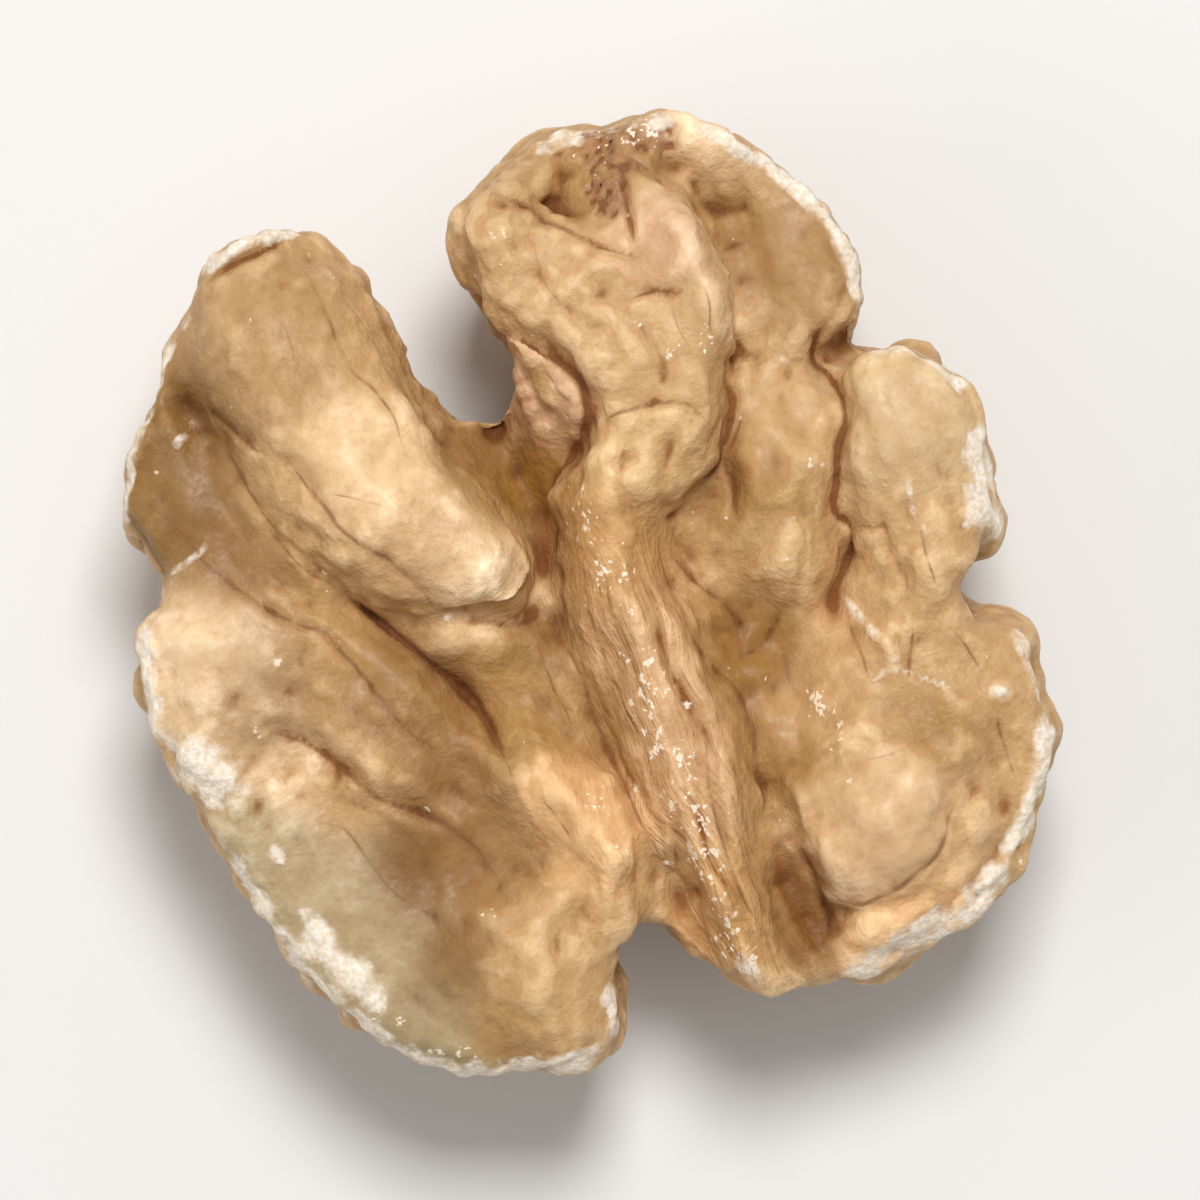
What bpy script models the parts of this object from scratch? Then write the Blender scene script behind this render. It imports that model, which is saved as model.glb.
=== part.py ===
"""Half of a shelled walnut kernel, lying on its rounded outer side with the inner side up.

A kernel half grew as one folded piece, so it is one solid. Everything below is in millimetres,
with +Z up from the surface it lies on and +Y along the seam towards the deep cleft. The last step
brings the finished mesh to metres.
"""
import math
import random

import bmesh
import bpy
import numpy as np
from mathutils import Matrix, Vector, kdtree, noise

# Driving sizes
LENGTH = 32.0
WIDTH = 30.4
THICKNESS = 13.2

# The rim, the widest level of the kernel, and how far a fold may bulge past it
RIM_LEVEL = 8.7
RIM_HALF = 0.35
RIM_ROUND = 1.15
RIM_SPARE = 0.25
LEAST_RADIUS = 0.8

# The rounded outer side: half sizes of the bowl, and the shallow seam down its middle
BOWL_HALF_WIDTH = 15.4
BOWL_HALF_LENGTH = 16.0
SEAM_RISE = 1.0
SEAM_HALF = 1.5
FOOT_CUT = 0.45

# Folds of the outer side: how they fan out from the seam, meander and swell
RIB_SEED = 7
RIBS_A_SIDE = 6
RIB_POINTS = 15
RIB_RADIUS = 1.85
FAN = math.radians(76)
SEAM_REACH = 9.5
SEAM_GAP = 2.1
RIB_RUN_ACROSS = 11.6
RIB_RUN_ALONG = 14.2
RIB_LIMIT_ACROSS = 14.6
RIB_LIMIT_ALONG = 15.4
RIB_END = 1.06
SHORT_RIB_BEGIN = 0.45
LEAST_SWING = 0.7
MOST_SWING = 1.4
SWING_RATE = 10.0
SWING_GROWTH = 3.0
SWELL = 0.12
SWELL_RATE = 14.0

# Furrows between the outer folds: depth, and how far from a crest, in fold radii, they begin and end
FURROW_DEPTH = 0.9
FURROW_BEGINS = (1.0, 1.35)
FURROW_ENDS = (1.6, 2.0)
BELOW_RIM = (-0.9, 0.6)

# Steepness of the skin, as the height of its normal, over which the inner and the outer side fade in
INNER_SIDE = (0.1, 0.6)
OUTER_SIDE = (-0.5, 0.3)

# Skin
FOLD_STEP = 0.7
RIB_STEP = 0.8
VALLEY_STEP = 1.0
VOXEL = 0.42
SMOOTHING = 5
TRIANGLES = 9600
WAVINESS = 0.35
WAVE_LENGTH = 2.6
SKIN_COLOUR = (0.60, 0.37, 0.18, 1.0)
SKIN_ROUGHNESS = 0.45
MM = 0.001

# The outline seen from above, clockwise from the foot of the cleft between the two upper lobes
OUTLINE = [
    (-0.2, 6.8), (0.8, 7.3), (1.1, 8.6), (1.1, 10.4), (0.7, 12.4), (0.9, 13.8), (2.2, 14.5),
    (4.5, 15.3), (6.0, 15.1), (7.3, 14.7), (8.8, 14.7), (10.1, 13.8), (11.3, 12.5), (12.3, 11.0),
    (13.0, 9.6), (13.3, 8.0), (13.4, 6.4), (13.3, 5.2), (12.3, 4.9), (10.7, 4.7), (10.7, 4.1),
    (12.3, 3.9), (13.8, 4.1), (14.9, 3.1), (15.2, 1.8), (15.2, 0.4), (15.0, -0.9), (14.9, -2.4),
    (14.6, -3.8), (13.6, -4.0), (12.2, -4.3), (12.2, -5.2), (13.4, -5.9), (14.0, -7.0),
    (13.5, -8.6), (13.8, -10.0), (13.1, -11.2), (12.3, -12.5), (11.2, -13.7), (9.8, -14.5),
    (7.8, -15.2), (5.8, -15.7), (4.4, -15.9), (3.2, -15.1), (1.9, -15.2), (0.6, -14.9),
    (-0.4, -13.9), (-1.2, -12.3), (-2.2, -10.8), (-3.4, -10.7), (-3.8, -12.2), (-4.1, -14.3),
    (-5.2, -14.75), (-7.2, -14.4), (-9.2, -13.9), (-10.6, -13.2), (-12.0, -11.5), (-13.2, -9.7),
    (-13.9, -7.6), (-14.3, -5.4), (-14.6, -3.4), (-15.0, -1.0), (-15.3, 1.5), (-14.9, 3.6),
    (-14.6, 5.0), (-13.6, 5.6), (-12.6, 6.0), (-13.0, 7.0), (-13.6, 8.5), (-12.6, 10.1),
    (-11.2, 11.8), (-9.6, 13.6), (-8.2, 14.8), (-7.1, 15.7), (-5.0, 16.0), (-3.5, 15.7),
    (-2.6, 14.1), (-2.25, 12.4), (-2.25, 9.9), (-1.9, 8.1), (-1.1, 7.0),
]

# Lobes of the inner side: how flat the lobe is, then points (x, y, height of its top, half width)
LOBES = {
    "upper_left": (0.75, [
        (-5.9, 13.4, 11.6, 3.0), (-6.1, 11.2, 12.4, 3.4), (-5.6, 8.4, 12.9, 3.3),
        (-4.8, 5.6, 13.1, 3.0), (-3.6, 3.6, 13.0, 2.4), (-2.5, 2.2, 12.9, 1.7),
    ]),
    "left_wing": (0.5, [
        (-9.8, 11.2, 9.9, 1.6), (-11.4, 8.6, 10.0, 2.0), (-11.2, 6.4, 10.2, 2.0),
    ]),
    "left_shoulder": (0.5, [
        (-12.6, 3.6, 10.9, 2.4), (-11.2, 2.4, 11.2, 2.9), (-9.2, 1.2, 11.1, 2.8),
        (-7.4, -0.8, 10.8, 2.2),
    ]),
    "left_band": (0.7, [
        (-12.9, 0.4, 10.8, 2.2), (-12.2, -3.0, 10.7, 2.5), (-11.2, -6.4, 10.6, 2.8),
        (-9.9, -9.8, 10.4, 2.8), (-8.4, -11.8, 10.5, 2.5),
    ]),
    "small_left_fold": (0.7, [
        (-10.0, -0.9, 11.1, 1.1), (-8.6, -2.6, 11.2, 1.2), (-7.2, -3.6, 11.0, 1.2),
    ]),
    "lower_left": (0.8, [
        (-6.4, -9.4, 11.3, 2.0), (-6.1, -11.2, 11.8, 2.6), (-5.9, -12.6, 11.4, 2.2),
    ]),
    "keel_flank": (0.8, [
        (-4.6, -2.6, 11.0, 1.3), (-3.8, -4.6, 11.6, 1.6), (-2.8, -6.8, 12.1, 1.6),
        (-2.6, -8.6, 12.0, 1.5), (-3.3, -10.2, 11.2, 1.3),
    ]),
    "keel": (0.75, [
        (1.9, 2.6, 12.1, 1.6), (1.8, 0.8, 12.1, 2.1), (1.5, -2.2, 12.2, 2.3),
        (1.6, -6.0, 12.2, 2.2), (1.3, -9.6, 12.0, 1.8), (1.1, -12.2, 11.5, 1.3),
        (1.3, -14.2, 10.7, 0.9),
    ]),
    "middle": (0.55, [
        (2.3, 12.8, 12.0, 1.4), (2.9, 11.2, 12.6, 2.0), (4.2, 9.2, 12.9, 2.9),
        (5.0, 7.0, 12.9, 3.3), (5.4, 5.2, 12.7, 2.9),
    ]),
    "middle_foot": (0.6, [
        (2.4, 3.2, 12.2, 1.6), (4.2, 3.6, 12.6, 2.0), (6.2, 4.6, 12.6, 1.9),
    ]),
    "middle_ridge": (0.7, [
        (7.2, 12.2, 12.0, 1.5), (7.8, 10.2, 12.8, 1.6), (7.7, 7.8, 13.1, 1.7),
        (6.9, 5.6, 12.8, 1.8),
    ]),
    "top_knob": (0.8, [
        (3.9, 14.0, 10.9, 1.2), (5.4, 14.0, 10.8, 1.1),
    ]),
    "top_right_knob": (0.7, [
        (8.2, 13.6, 11.2, 1.1), (9.6, 13.2, 11.3, 1.2), (10.6, 12.0, 11.1, 1.0),
    ]),
    "right_spoon": (0.6, [
        (12.6, 9.2, 10.4, 1.2), (12.7, 7.2, 10.7, 1.1), (12.2, 5.8, 10.8, 1.0),
    ]),
    "right_inner": (0.6, [
        (9.4, 3.4, 11.2, 1.2), (8.7, 1.2, 11.4, 1.7), (7.2, -0.8, 11.5, 2.0),
    ]),
    "right_plateau": (0.5, [
        (12.9, 2.6, 11.7, 2.0), (12.7, 0.4, 12.0, 2.5), (11.8, -2.4, 11.8, 2.6),
        (10.6, -5.4, 11.7, 2.6), (10.2, -7.4, 11.6, 2.3),
    ]),
    "lower_right": (0.75, [
        (7.4, -6.4, 11.4, 2.0), (7.0, -8.6, 12.0, 2.8), (6.8, -10.7, 12.5, 3.2),
    ]),
    "right_band": (0.6, [
        (12.0, -7.4, 11.0, 1.7), (11.6, -10.2, 10.9, 1.8), (9.6, -12.8, 10.8, 1.8),
        (6.4, -14.2, 10.6, 1.4),
    ]),
}

# Valleys of the inner side: depth, half width, then points (x, y)
VALLEYS = {
    "upper_left_edge": (1.0, 0.8, [
        (-9.7, 11.5), (-9.0, 8.0), (-8.5, 6.0), (-7.6, 4.0), (-6.7, 2.4), (-5.9, 0.8),
        (-4.9, -0.8), (-4.3, -2.6),
    ]),
    "left_band_edge": (0.6, 0.7, [
        (-11.4, -0.2), (-9.6, -1.9), (-8.6, -3.4), (-7.0, -5.2), (-6.4, -6.4),
    ]),
    "lower_left_valley": (0.9, 1.1, [
        (-6.8, -5.6), (-6.0, -7.2), (-4.7, -8.8),
    ]),
    "sinus": (1.9, 1.1, [
        (-0.5, 6.4), (-0.1, 4.4), (-0.4, 2.2), (-1.5, 0.4),
    ]),
    "right_valley": (1.2, 1.2, [
        (5.0, -1.5), (5.1, -5.0), (4.7, -8.0), (4.2, -10.0),
    ]),
    "pit": (2.0, 0.75, [
        (3.0, -10.2), (3.1, -12.0), (3.2, -13.4),
    ]),
    "middle_crease": (0.9, 0.45, [
        (1.2, 10.2), (1.9, 8.8), (2.7, 7.6), (2.9, 6.1), (2.3, 5.1), (1.1, 4.1),
    ]),
    "middle_edge": (1.0, 0.65, [
        (8.6, 12.4), (9.4, 11.0), (9.7, 9.6), (9.5, 7.6), (9.0, 5.6), (7.6, 3.7), (5.6, 2.1),
        (4.2, 1.2), (3.5, -0.5),
    ]),
    "plateau_edge": (0.8, 0.5, [
        (12.9, 4.7), (10.9, 4.2), (11.0, 2.6), (9.9, 0.9), (9.4, -1.0), (8.8, -2.6), (7.9, -3.5),
    ]),
    "knob_moat": (0.35, 0.4, [
        (2.4, 14.9), (2.7, 13.6), (3.8, 12.7), (5.2, 12.9), (6.4, 13.4),
    ]),
    "bulge_ring": (0.45, 0.45, [
        (3.8, -11.8), (4.5, -13.0), (5.8, -13.7), (7.2, -13.5), (8.6, -12.7), (9.6, -11.2),
        (9.9, -9.8),
    ]),
    "keel_left": (0.8, 0.6, [
        (-1.0, -0.5), (-0.9, -3.0), (-0.8, -6.0), (-0.9, -9.0), (-0.2, -12.3),
    ]),
    "keel_right": (0.5, 0.45, [
        (3.7, -0.5), (3.6, -3.5), (3.8, -6.5), (3.3, -9.5),
    ]),
}

# Solid cores inside the folds, so that fusing leaves no cavity: centre, half sizes, rise above it
CORES = [
    ((-7.0, 0.2, 8.7), (5.8, 12.9, 6.3), 1.1),
    ((7.0, -0.4, 8.7), (5.8, 12.9, 6.3), 1.1),
    ((0.2, -2.4, 8.7), (5.6, 9.0, 5.8), 0.8),
    ((-0.3, 2.8, 6.4), (5.0, 3.8, 3.9), 2.0),
    ((-0.2, -7.2, 6.4), (4.6, 3.2, 3.6), 2.0),
]


def clear_scene():
    for obj in list(bpy.data.objects):
        bpy.data.objects.remove(obj)


def smooth_path(points, step):
    """Points along a Catmull-Rom curve through the given ones, about one step apart."""
    knots = [np.array(point, float) for point in points]
    knots = [2 * knots[0] - knots[1], *knots, 2 * knots[-1] - knots[-2]]
    path = []
    for a, b, c, d in zip(knots, knots[1:], knots[2:], knots[3:]):
        count = max(1, round(float(np.linalg.norm((c - b)[:3])) / step))
        for i in range(count):
            t = i / count
            bend = (2 * a - 5 * b + 4 * c - d) * t**2 + (3 * b - a - 3 * c + d) * t**3
            path.append(b + 0.5 * ((c - a) * t + bend))
    return path + [knots[-2]]


def distance_to_path(points, path):
    """How far each (x, y) point lies from a broken line."""
    best = np.full(len(points), np.inf)
    for a, b in zip(path, path[1:]):
        along = b - a
        t = np.clip((points - a) @ along / (along @ along), 0.0, 1.0)
        best = np.minimum(best, np.linalg.norm(points - a - t[:, None] * along, axis=1))
    return best


def eased(values, ends):
    """0 below the first end, 1 above the second, and straight in between."""
    return np.clip((values - ends[0]) / (ends[1] - ends[0]), 0.0, 1.0)


def add_ball(bm, centre, half_sizes):
    placed = Matrix.Translation(centre) @ Matrix.Diagonal((*half_sizes, 1.0))
    bmesh.ops.create_icosphere(bm, subdivisions=2, radius=1.0, matrix=placed)


def add_core(bm, centre, half_sizes, rise):
    """A solid bowl: round below its centre and nearly flat above."""
    made = bmesh.ops.create_icosphere(bm, subdivisions=4, radius=1.0)
    for vert in made["verts"]:
        height = half_sizes[2] if vert.co.z < 0 else rise
        offset = Vector((vert.co.x * half_sizes[0], vert.co.y * half_sizes[1], vert.co.z * height))
        vert.co = Vector(centre) + offset


def room_inside(x, y):
    """How far a point lies inside the outline, below zero outside it."""
    point = np.array([[x, y]])
    corners = np.array(OUTLINE)
    nearest = float(distance_to_path(point, [*corners, corners[0]])[0])
    inside = False
    for (x1, y1), (x2, y2) in zip(OUTLINE, OUTLINE[1:] + OUTLINE[:1]):
        if (y1 > y) != (y2 > y) and x < x1 + (x2 - x1) * (y - y1) / (y2 - y1):
            inside = not inside
    return nearest if inside else -nearest


def add_fold(bm, points, flatness):
    """A rounded fold: a row of overlapping balls along a path of (x, y, top, half width)."""
    for x, y, top, radius in smooth_path(points, FOLD_STEP):
        radius = min(radius, room_inside(x, y) + RIM_SPARE)
        height = radius * flatness
        if radius > LEAST_RADIUS:
            add_ball(bm, (x, y, top - height), (radius, radius, height))


def outer_level(x, y):
    """Height of the rounded outer side, with the shallow seam down its middle."""
    inside = 1.0 - (x / BOWL_HALF_WIDTH) ** 2 - (y / BOWL_HALF_LENGTH) ** 2
    bowl = RIM_LEVEL * (1.0 - math.sqrt(max(inside, 0.0)))
    return bowl + SEAM_RISE * math.exp(-((x / SEAM_HALF) ** 2))


def rib_path(side, angle, begin, rng):
    """One fold of the outer side: it leaves the seam and meanders out and up to the rim."""
    phase = rng.uniform(0, 2 * math.pi)
    swing = rng.uniform(LEAST_SWING, MOST_SWING)
    start_y = SEAM_REACH * math.sin(angle)
    path = []
    for i in range(RIB_POINTS):
        t = begin + (RIB_END - begin) * i / (RIB_POINTS - 1)
        wave = swing * math.sin(phase + SWING_RATE * t) * min(1.0, SWING_GROWTH * t)
        across = SEAM_GAP + RIB_RUN_ACROSS * t * math.cos(angle) - wave * math.sin(angle)
        along = start_y * (1 - t) + RIB_RUN_ALONG * t * math.sin(angle) + wave * math.cos(angle)
        reach = max(1.0, math.hypot(across / RIB_LIMIT_ACROSS, along / RIB_LIMIT_ALONG))
        x, y = side * across / reach, along / reach
        radius = RIB_RADIUS * (1.0 + SWELL * math.sin(phase + SWELL_RATE * t))
        path.append((x, y, outer_level(x, y) + radius, radius))
    return smooth_path(path, RIB_STEP)


def outer_paths():
    """Folds fan out from the seam on both sides, and a shorter one starts between each two."""
    rng = random.Random(RIB_SEED)
    last = RIBS_A_SIDE - 1
    ribs = [(FAN * (2 * k / last - 1), 0.0) for k in range(RIBS_A_SIDE)]
    ribs += [(FAN * (2 * (k + 0.5) / last - 1), SHORT_RIB_BEGIN) for k in range(last)]
    return [rib_path(side, angle, begin, rng) for side in (-1, 1) for angle, begin in ribs]


def add_outer_folds(bm):
    for path in outer_paths():
        for x, y, z, radius in path:
            radius = min(radius, room_inside(x, y) + RIM_SPARE)
            if radius > LEAST_RADIUS:
                add_ball(bm, (x, y, z), (radius, radius, radius))


def rim_slab():
    """The body of the kernel at its widest: the outline, thickened, with a rounded edge."""
    curve = bpy.data.curves.new("rim", "CURVE")
    curve.dimensions = "2D"
    curve.fill_mode = "BOTH"
    curve.extrude = RIM_HALF
    curve.bevel_depth = RIM_ROUND
    curve.bevel_resolution = 3
    curve.offset = -RIM_ROUND
    curve.resolution_u = 4
    spline = curve.splines.new("NURBS")
    spline.points.add(len(OUTLINE) - 1)
    for point, (x, y) in zip(spline.points, OUTLINE):
        point.co = (x, y, 0.0, 1.0)
    spline.order_u = 3
    spline.use_cyclic_u = True
    obj = bpy.data.objects.new("rim", curve)
    bpy.context.scene.collection.objects.link(obj)
    obj.location.z = RIM_LEVEL
    return obj


def as_mesh(obj, name):
    """A new mesh with the object's modifiers and place applied."""
    graph = bpy.context.evaluated_depsgraph_get()
    mesh = bpy.data.meshes.new_from_object(obj.evaluated_get(graph))
    mesh.transform(obj.matrix_world)
    mesh.name = name
    return mesh


def folds_mesh():
    bm = bmesh.new()
    for flatness, points in LOBES.values():
        add_fold(bm, points, flatness)
    for centre, half_sizes, rise in CORES:
        add_core(bm, centre, half_sizes, rise)
    add_outer_folds(bm)
    rim = rim_slab()
    bpy.context.view_layer.update()
    slab = as_mesh(rim, "slab")
    bpy.data.objects.remove(rim)
    bm.from_mesh(slab)
    mesh = bpy.data.meshes.new("folds")
    bm.to_mesh(mesh)
    bm.free()
    return mesh


def fused(mesh):
    """One skin over all the overlapping shapes, with its creases softened."""
    obj = bpy.data.objects.new("fused", mesh)
    bpy.context.scene.collection.objects.link(obj)
    remesh = obj.modifiers.new("skin", "REMESH")
    remesh.mode = "VOXEL"
    remesh.voxel_size = VOXEL
    smooth = obj.modifiers.new("soften", "SMOOTH")
    smooth.factor = 0.5
    smooth.iterations = SMOOTHING
    bpy.context.view_layer.update()
    skin = as_mesh(obj, "skin")
    bpy.data.objects.remove(obj)
    return skin


def largest_body(bm):
    """Removes every loose scrap of surface but the largest."""
    bodies = []
    left = set(bm.verts)
    while left:
        body, edge = set(), [left.pop()]
        while edge:
            vert = edge.pop()
            body.add(vert)
            near = {e.other_vert(vert) for e in vert.link_edges} & left
            left -= near
            edge.extend(near)
        bodies.append(body)
    keep = max(bodies, key=len)
    bmesh.ops.delete(bm, geom=[v for v in bm.verts if v not in keep], context="VERTS")


def read_points(mesh, name):
    values = np.empty(len(mesh.vertices) * 3, np.float32)
    mesh.vertices.foreach_get(name, values)
    return values.reshape(-1, 3).astype(float)


def move_points(mesh, places):
    mesh.vertices.foreach_set("co", places.astype(np.float32).reshape(-1))
    mesh.update()


def shape_inner_side(mesh):
    """Presses the valleys into the upward-facing skin, and makes it gently uneven."""
    places = read_points(mesh, "co")
    facing = eased(read_points(mesh, "normal")[:, 2], INNER_SIDE)
    for depth, half_width, points in VALLEYS.values():
        away = distance_to_path(places[:, :2], smooth_path(points, VALLEY_STEP))
        places[:, 2] -= facing * depth * np.exp(-((away / half_width) ** 2))
    uneven = np.array([noise.noise(Vector(place) / WAVE_LENGTH) for place in places])
    places[:, 2] += facing * WAVINESS * uneven
    move_points(mesh, places)


def shape_outer_side(mesh):
    """Deepens the furrows between the outer folds, up to the rim."""
    places = read_points(mesh, "co")
    normals = read_points(mesh, "normal")
    crest_points = [point[:3] for path in outer_paths() for point in path]
    crests = kdtree.KDTree(len(crest_points))
    for i, point in enumerate(crest_points):
        crests.insert(point, i)
    crests.balance()
    away = np.array([crests.find(place)[2] for place in places]) / RIB_RADIUS
    furrow = eased(away, FURROW_BEGINS) * (1.0 - eased(away, FURROW_ENDS))
    facing = 1.0 - eased(normals[:, 2], OUTER_SIDE)
    low = 1.0 - eased(places[:, 2] - RIM_LEVEL, BELOW_RIM)
    places -= normals * (FURROW_DEPTH * furrow * facing * low)[:, None]
    move_points(mesh, places)


def fitted(mesh):
    """Brings the mesh to its driving sizes, centred over the origin and standing at height 0."""
    places = np.array([v.co for v in mesh.vertices])
    low, high = places.min(axis=0), places.max(axis=0)
    scale = np.array([WIDTH, LENGTH, THICKNESS + FOOT_CUT]) / (high - low)
    middle = (low + high) / 2
    middle[2] = low[2]
    mesh.transform(Matrix.Diagonal((*scale, 1.0)) @ Matrix.Translation(-Vector(middle)))


def thinned(mesh):
    """The same skin with fewer triangles, small ones where it bends most."""
    obj = bpy.data.objects.new("thinned", mesh)
    bpy.context.scene.collection.objects.link(obj)
    decimate = obj.modifiers.new("thin", "DECIMATE")
    decimate.ratio = TRIANGLES / (2 * len(mesh.polygons))
    bpy.context.view_layer.update()
    thin = as_mesh(obj, "thin")
    bpy.data.objects.remove(obj)
    return thin


def cut_foot(bm):
    """The small flats that the kernel rests on, sliced level across its lowest folds."""
    geometry_in = bm.verts[:] + bm.edges[:] + bm.faces[:]
    level = Vector((0.0, 0.0, FOOT_CUT))
    bmesh.ops.bisect_plane(bm, geom=geometry_in, plane_co=level, plane_no=(0, 0, 1), clear_inner=True)
    bmesh.ops.holes_fill(bm, edges=[e for e in bm.edges if e.is_boundary])
    bmesh.ops.translate(bm, vec=-level, verts=bm.verts)
    bmesh.ops.triangulate(bm, faces=bm.faces[:])
    bmesh.ops.recalc_face_normals(bm, faces=bm.faces[:])


def skin_material():
    material = bpy.data.materials.new("kernel_skin")
    material.use_nodes = True
    shader = material.node_tree.nodes["Principled BSDF"]
    shader.inputs["Base Color"].default_value = SKIN_COLOUR
    shader.inputs["Roughness"].default_value = SKIN_ROUGHNESS
    shader.inputs["Metallic"].default_value = 0.0
    return material


def main():
    clear_scene()
    skin = fused(folds_mesh())
    shape_inner_side(skin)
    shape_outer_side(skin)
    fitted(skin)
    skin = thinned(skin)
    bm = bmesh.new()
    bm.from_mesh(skin)
    largest_body(bm)
    cut_foot(bm)
    bmesh.ops.scale(bm, vec=(MM, MM, MM), verts=bm.verts)
    bm.to_mesh(skin)
    bm.free()
    skin.shade_smooth()
    skin.materials.append(skin_material())
    kernel = bpy.data.objects.new("kernel", skin)
    bpy.context.scene.collection.objects.link(kernel)


main()
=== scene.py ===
"""Looks of a shelled walnut kernel half, lying on its round outer side with the inner side up."""
import math

import bpy
import numpy as np
from mathutils import Matrix, Vector, noise
from mathutils.bvhtree import BVHTree


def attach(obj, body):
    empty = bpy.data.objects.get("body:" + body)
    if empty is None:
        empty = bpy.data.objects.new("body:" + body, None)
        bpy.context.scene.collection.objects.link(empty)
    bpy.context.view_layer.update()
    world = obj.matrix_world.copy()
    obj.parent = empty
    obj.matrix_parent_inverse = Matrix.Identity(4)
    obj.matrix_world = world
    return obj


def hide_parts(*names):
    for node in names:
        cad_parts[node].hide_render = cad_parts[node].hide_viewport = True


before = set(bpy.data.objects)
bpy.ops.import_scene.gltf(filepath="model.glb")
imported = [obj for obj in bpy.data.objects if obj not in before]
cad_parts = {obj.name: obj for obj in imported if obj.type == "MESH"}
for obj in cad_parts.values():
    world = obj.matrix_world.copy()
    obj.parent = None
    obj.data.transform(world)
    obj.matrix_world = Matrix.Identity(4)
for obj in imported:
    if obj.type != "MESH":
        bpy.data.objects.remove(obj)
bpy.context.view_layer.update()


# The flesh of the kernel half: one grown piece, whose large folds the solid already has.
# Its skin is drawn afresh here at a fifth of a millimetre, so that fine folds, veins and
# fibres can be pressed into it. Sizes are in millimetres until the mesh is finished.
SKIN_GRID = 0.206
SKIN_SOFTENING = 6
SOFTENING_SHARE = 0.5
FACING_UP = (0.05, 0.55)
MM = 0.001


def evaluated_mesh(obj):
    graph = bpy.context.evaluated_depsgraph_get()
    return bpy.data.meshes.new_from_object(obj.evaluated_get(graph))


def fine_skin(solid):
    mesh = solid.data.copy()
    mesh.transform(Matrix.Scale(1 / MM, 4))
    draft = bpy.data.objects.new("skin_draft", mesh)
    bpy.context.scene.collection.objects.link(draft)
    remesh = draft.modifiers.new("skin", "REMESH")
    remesh.mode = "VOXEL"
    remesh.voxel_size = SKIN_GRID
    soften = draft.modifiers.new("soften", "SMOOTH")
    soften.factor = SOFTENING_SHARE
    soften.iterations = SKIN_SOFTENING
    bpy.context.view_layer.update()
    skin = evaluated_mesh(draft)
    skin.materials.clear()
    bpy.data.objects.remove(draft)
    return skin


def read_points(mesh, name):
    values = np.empty(len(mesh.vertices) * 3, np.float32)
    mesh.vertices.foreach_get(name, values)
    return values.reshape(-1, 3).astype(float)


def ramp(value, low, high):
    """0 below low, 1 above high, and a smooth step between."""
    t = np.clip((value - low) / (high - low), 0.0, 1.0)
    return t * t * (3 - 2 * t)


def neighbour_mean(mesh, points, rounds):
    """The points pulled to the mean of their neighbours, again and again."""
    ends = np.empty(len(mesh.edges) * 2, np.int64)
    mesh.edges.foreach_get("vertices", ends)
    a, b = ends.reshape(-1, 2).T
    count = len(points)
    degree = np.bincount(a, minlength=count) + np.bincount(b, minlength=count)
    result = points.copy()
    for _ in range(rounds):
        for axis in range(points.shape[1]):
            total = np.bincount(a, result[b, axis], count) + np.bincount(b, result[a, axis], count)
            result[:, axis] = 0.5 * result[:, axis] + 0.5 * total / degree
    return result


skin = fine_skin(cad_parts["kernel"])
places = read_points(skin, "co")
normals = read_points(skin, "normal")
facing_up = ramp(normals[:, 2], *FACING_UP)

# The inner side is all that is open from above, the steep walls between the lobes too.
CLEARANCE = 0.3
OPEN_ROUNDS = 14
upwards = Vector((0.0, 0.0, 1.0))
shell = BVHTree.FromPolygons(places.tolist(), [list(face.vertices) for face in skin.polygons])
covered = [
    shell.ray_cast(Vector(place) + CLEARANCE * upwards, upwards)[0] is not None
    for place in places
]
inner = neighbour_mean(skin, 1.0 - np.array(covered, float)[:, None], OPEN_ROUNDS)[:, 0]

kernel = bpy.data.objects.new("kernel_half", skin)
bpy.context.scene.collection.objects.link(kernel)


# The folds of the inner side, sharpened: where one lobe laps over the next there is a narrow
# crease with a rounded lip beside it, and the lobes carry knobs and raised ridges. All are
# pressed into the skin that is open from above.
LIP_PLACE = 0.75
LIP_HALF = 0.55
CREASE_TAPER = 0.15
RIDGE_TAPER = 0.25
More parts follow.
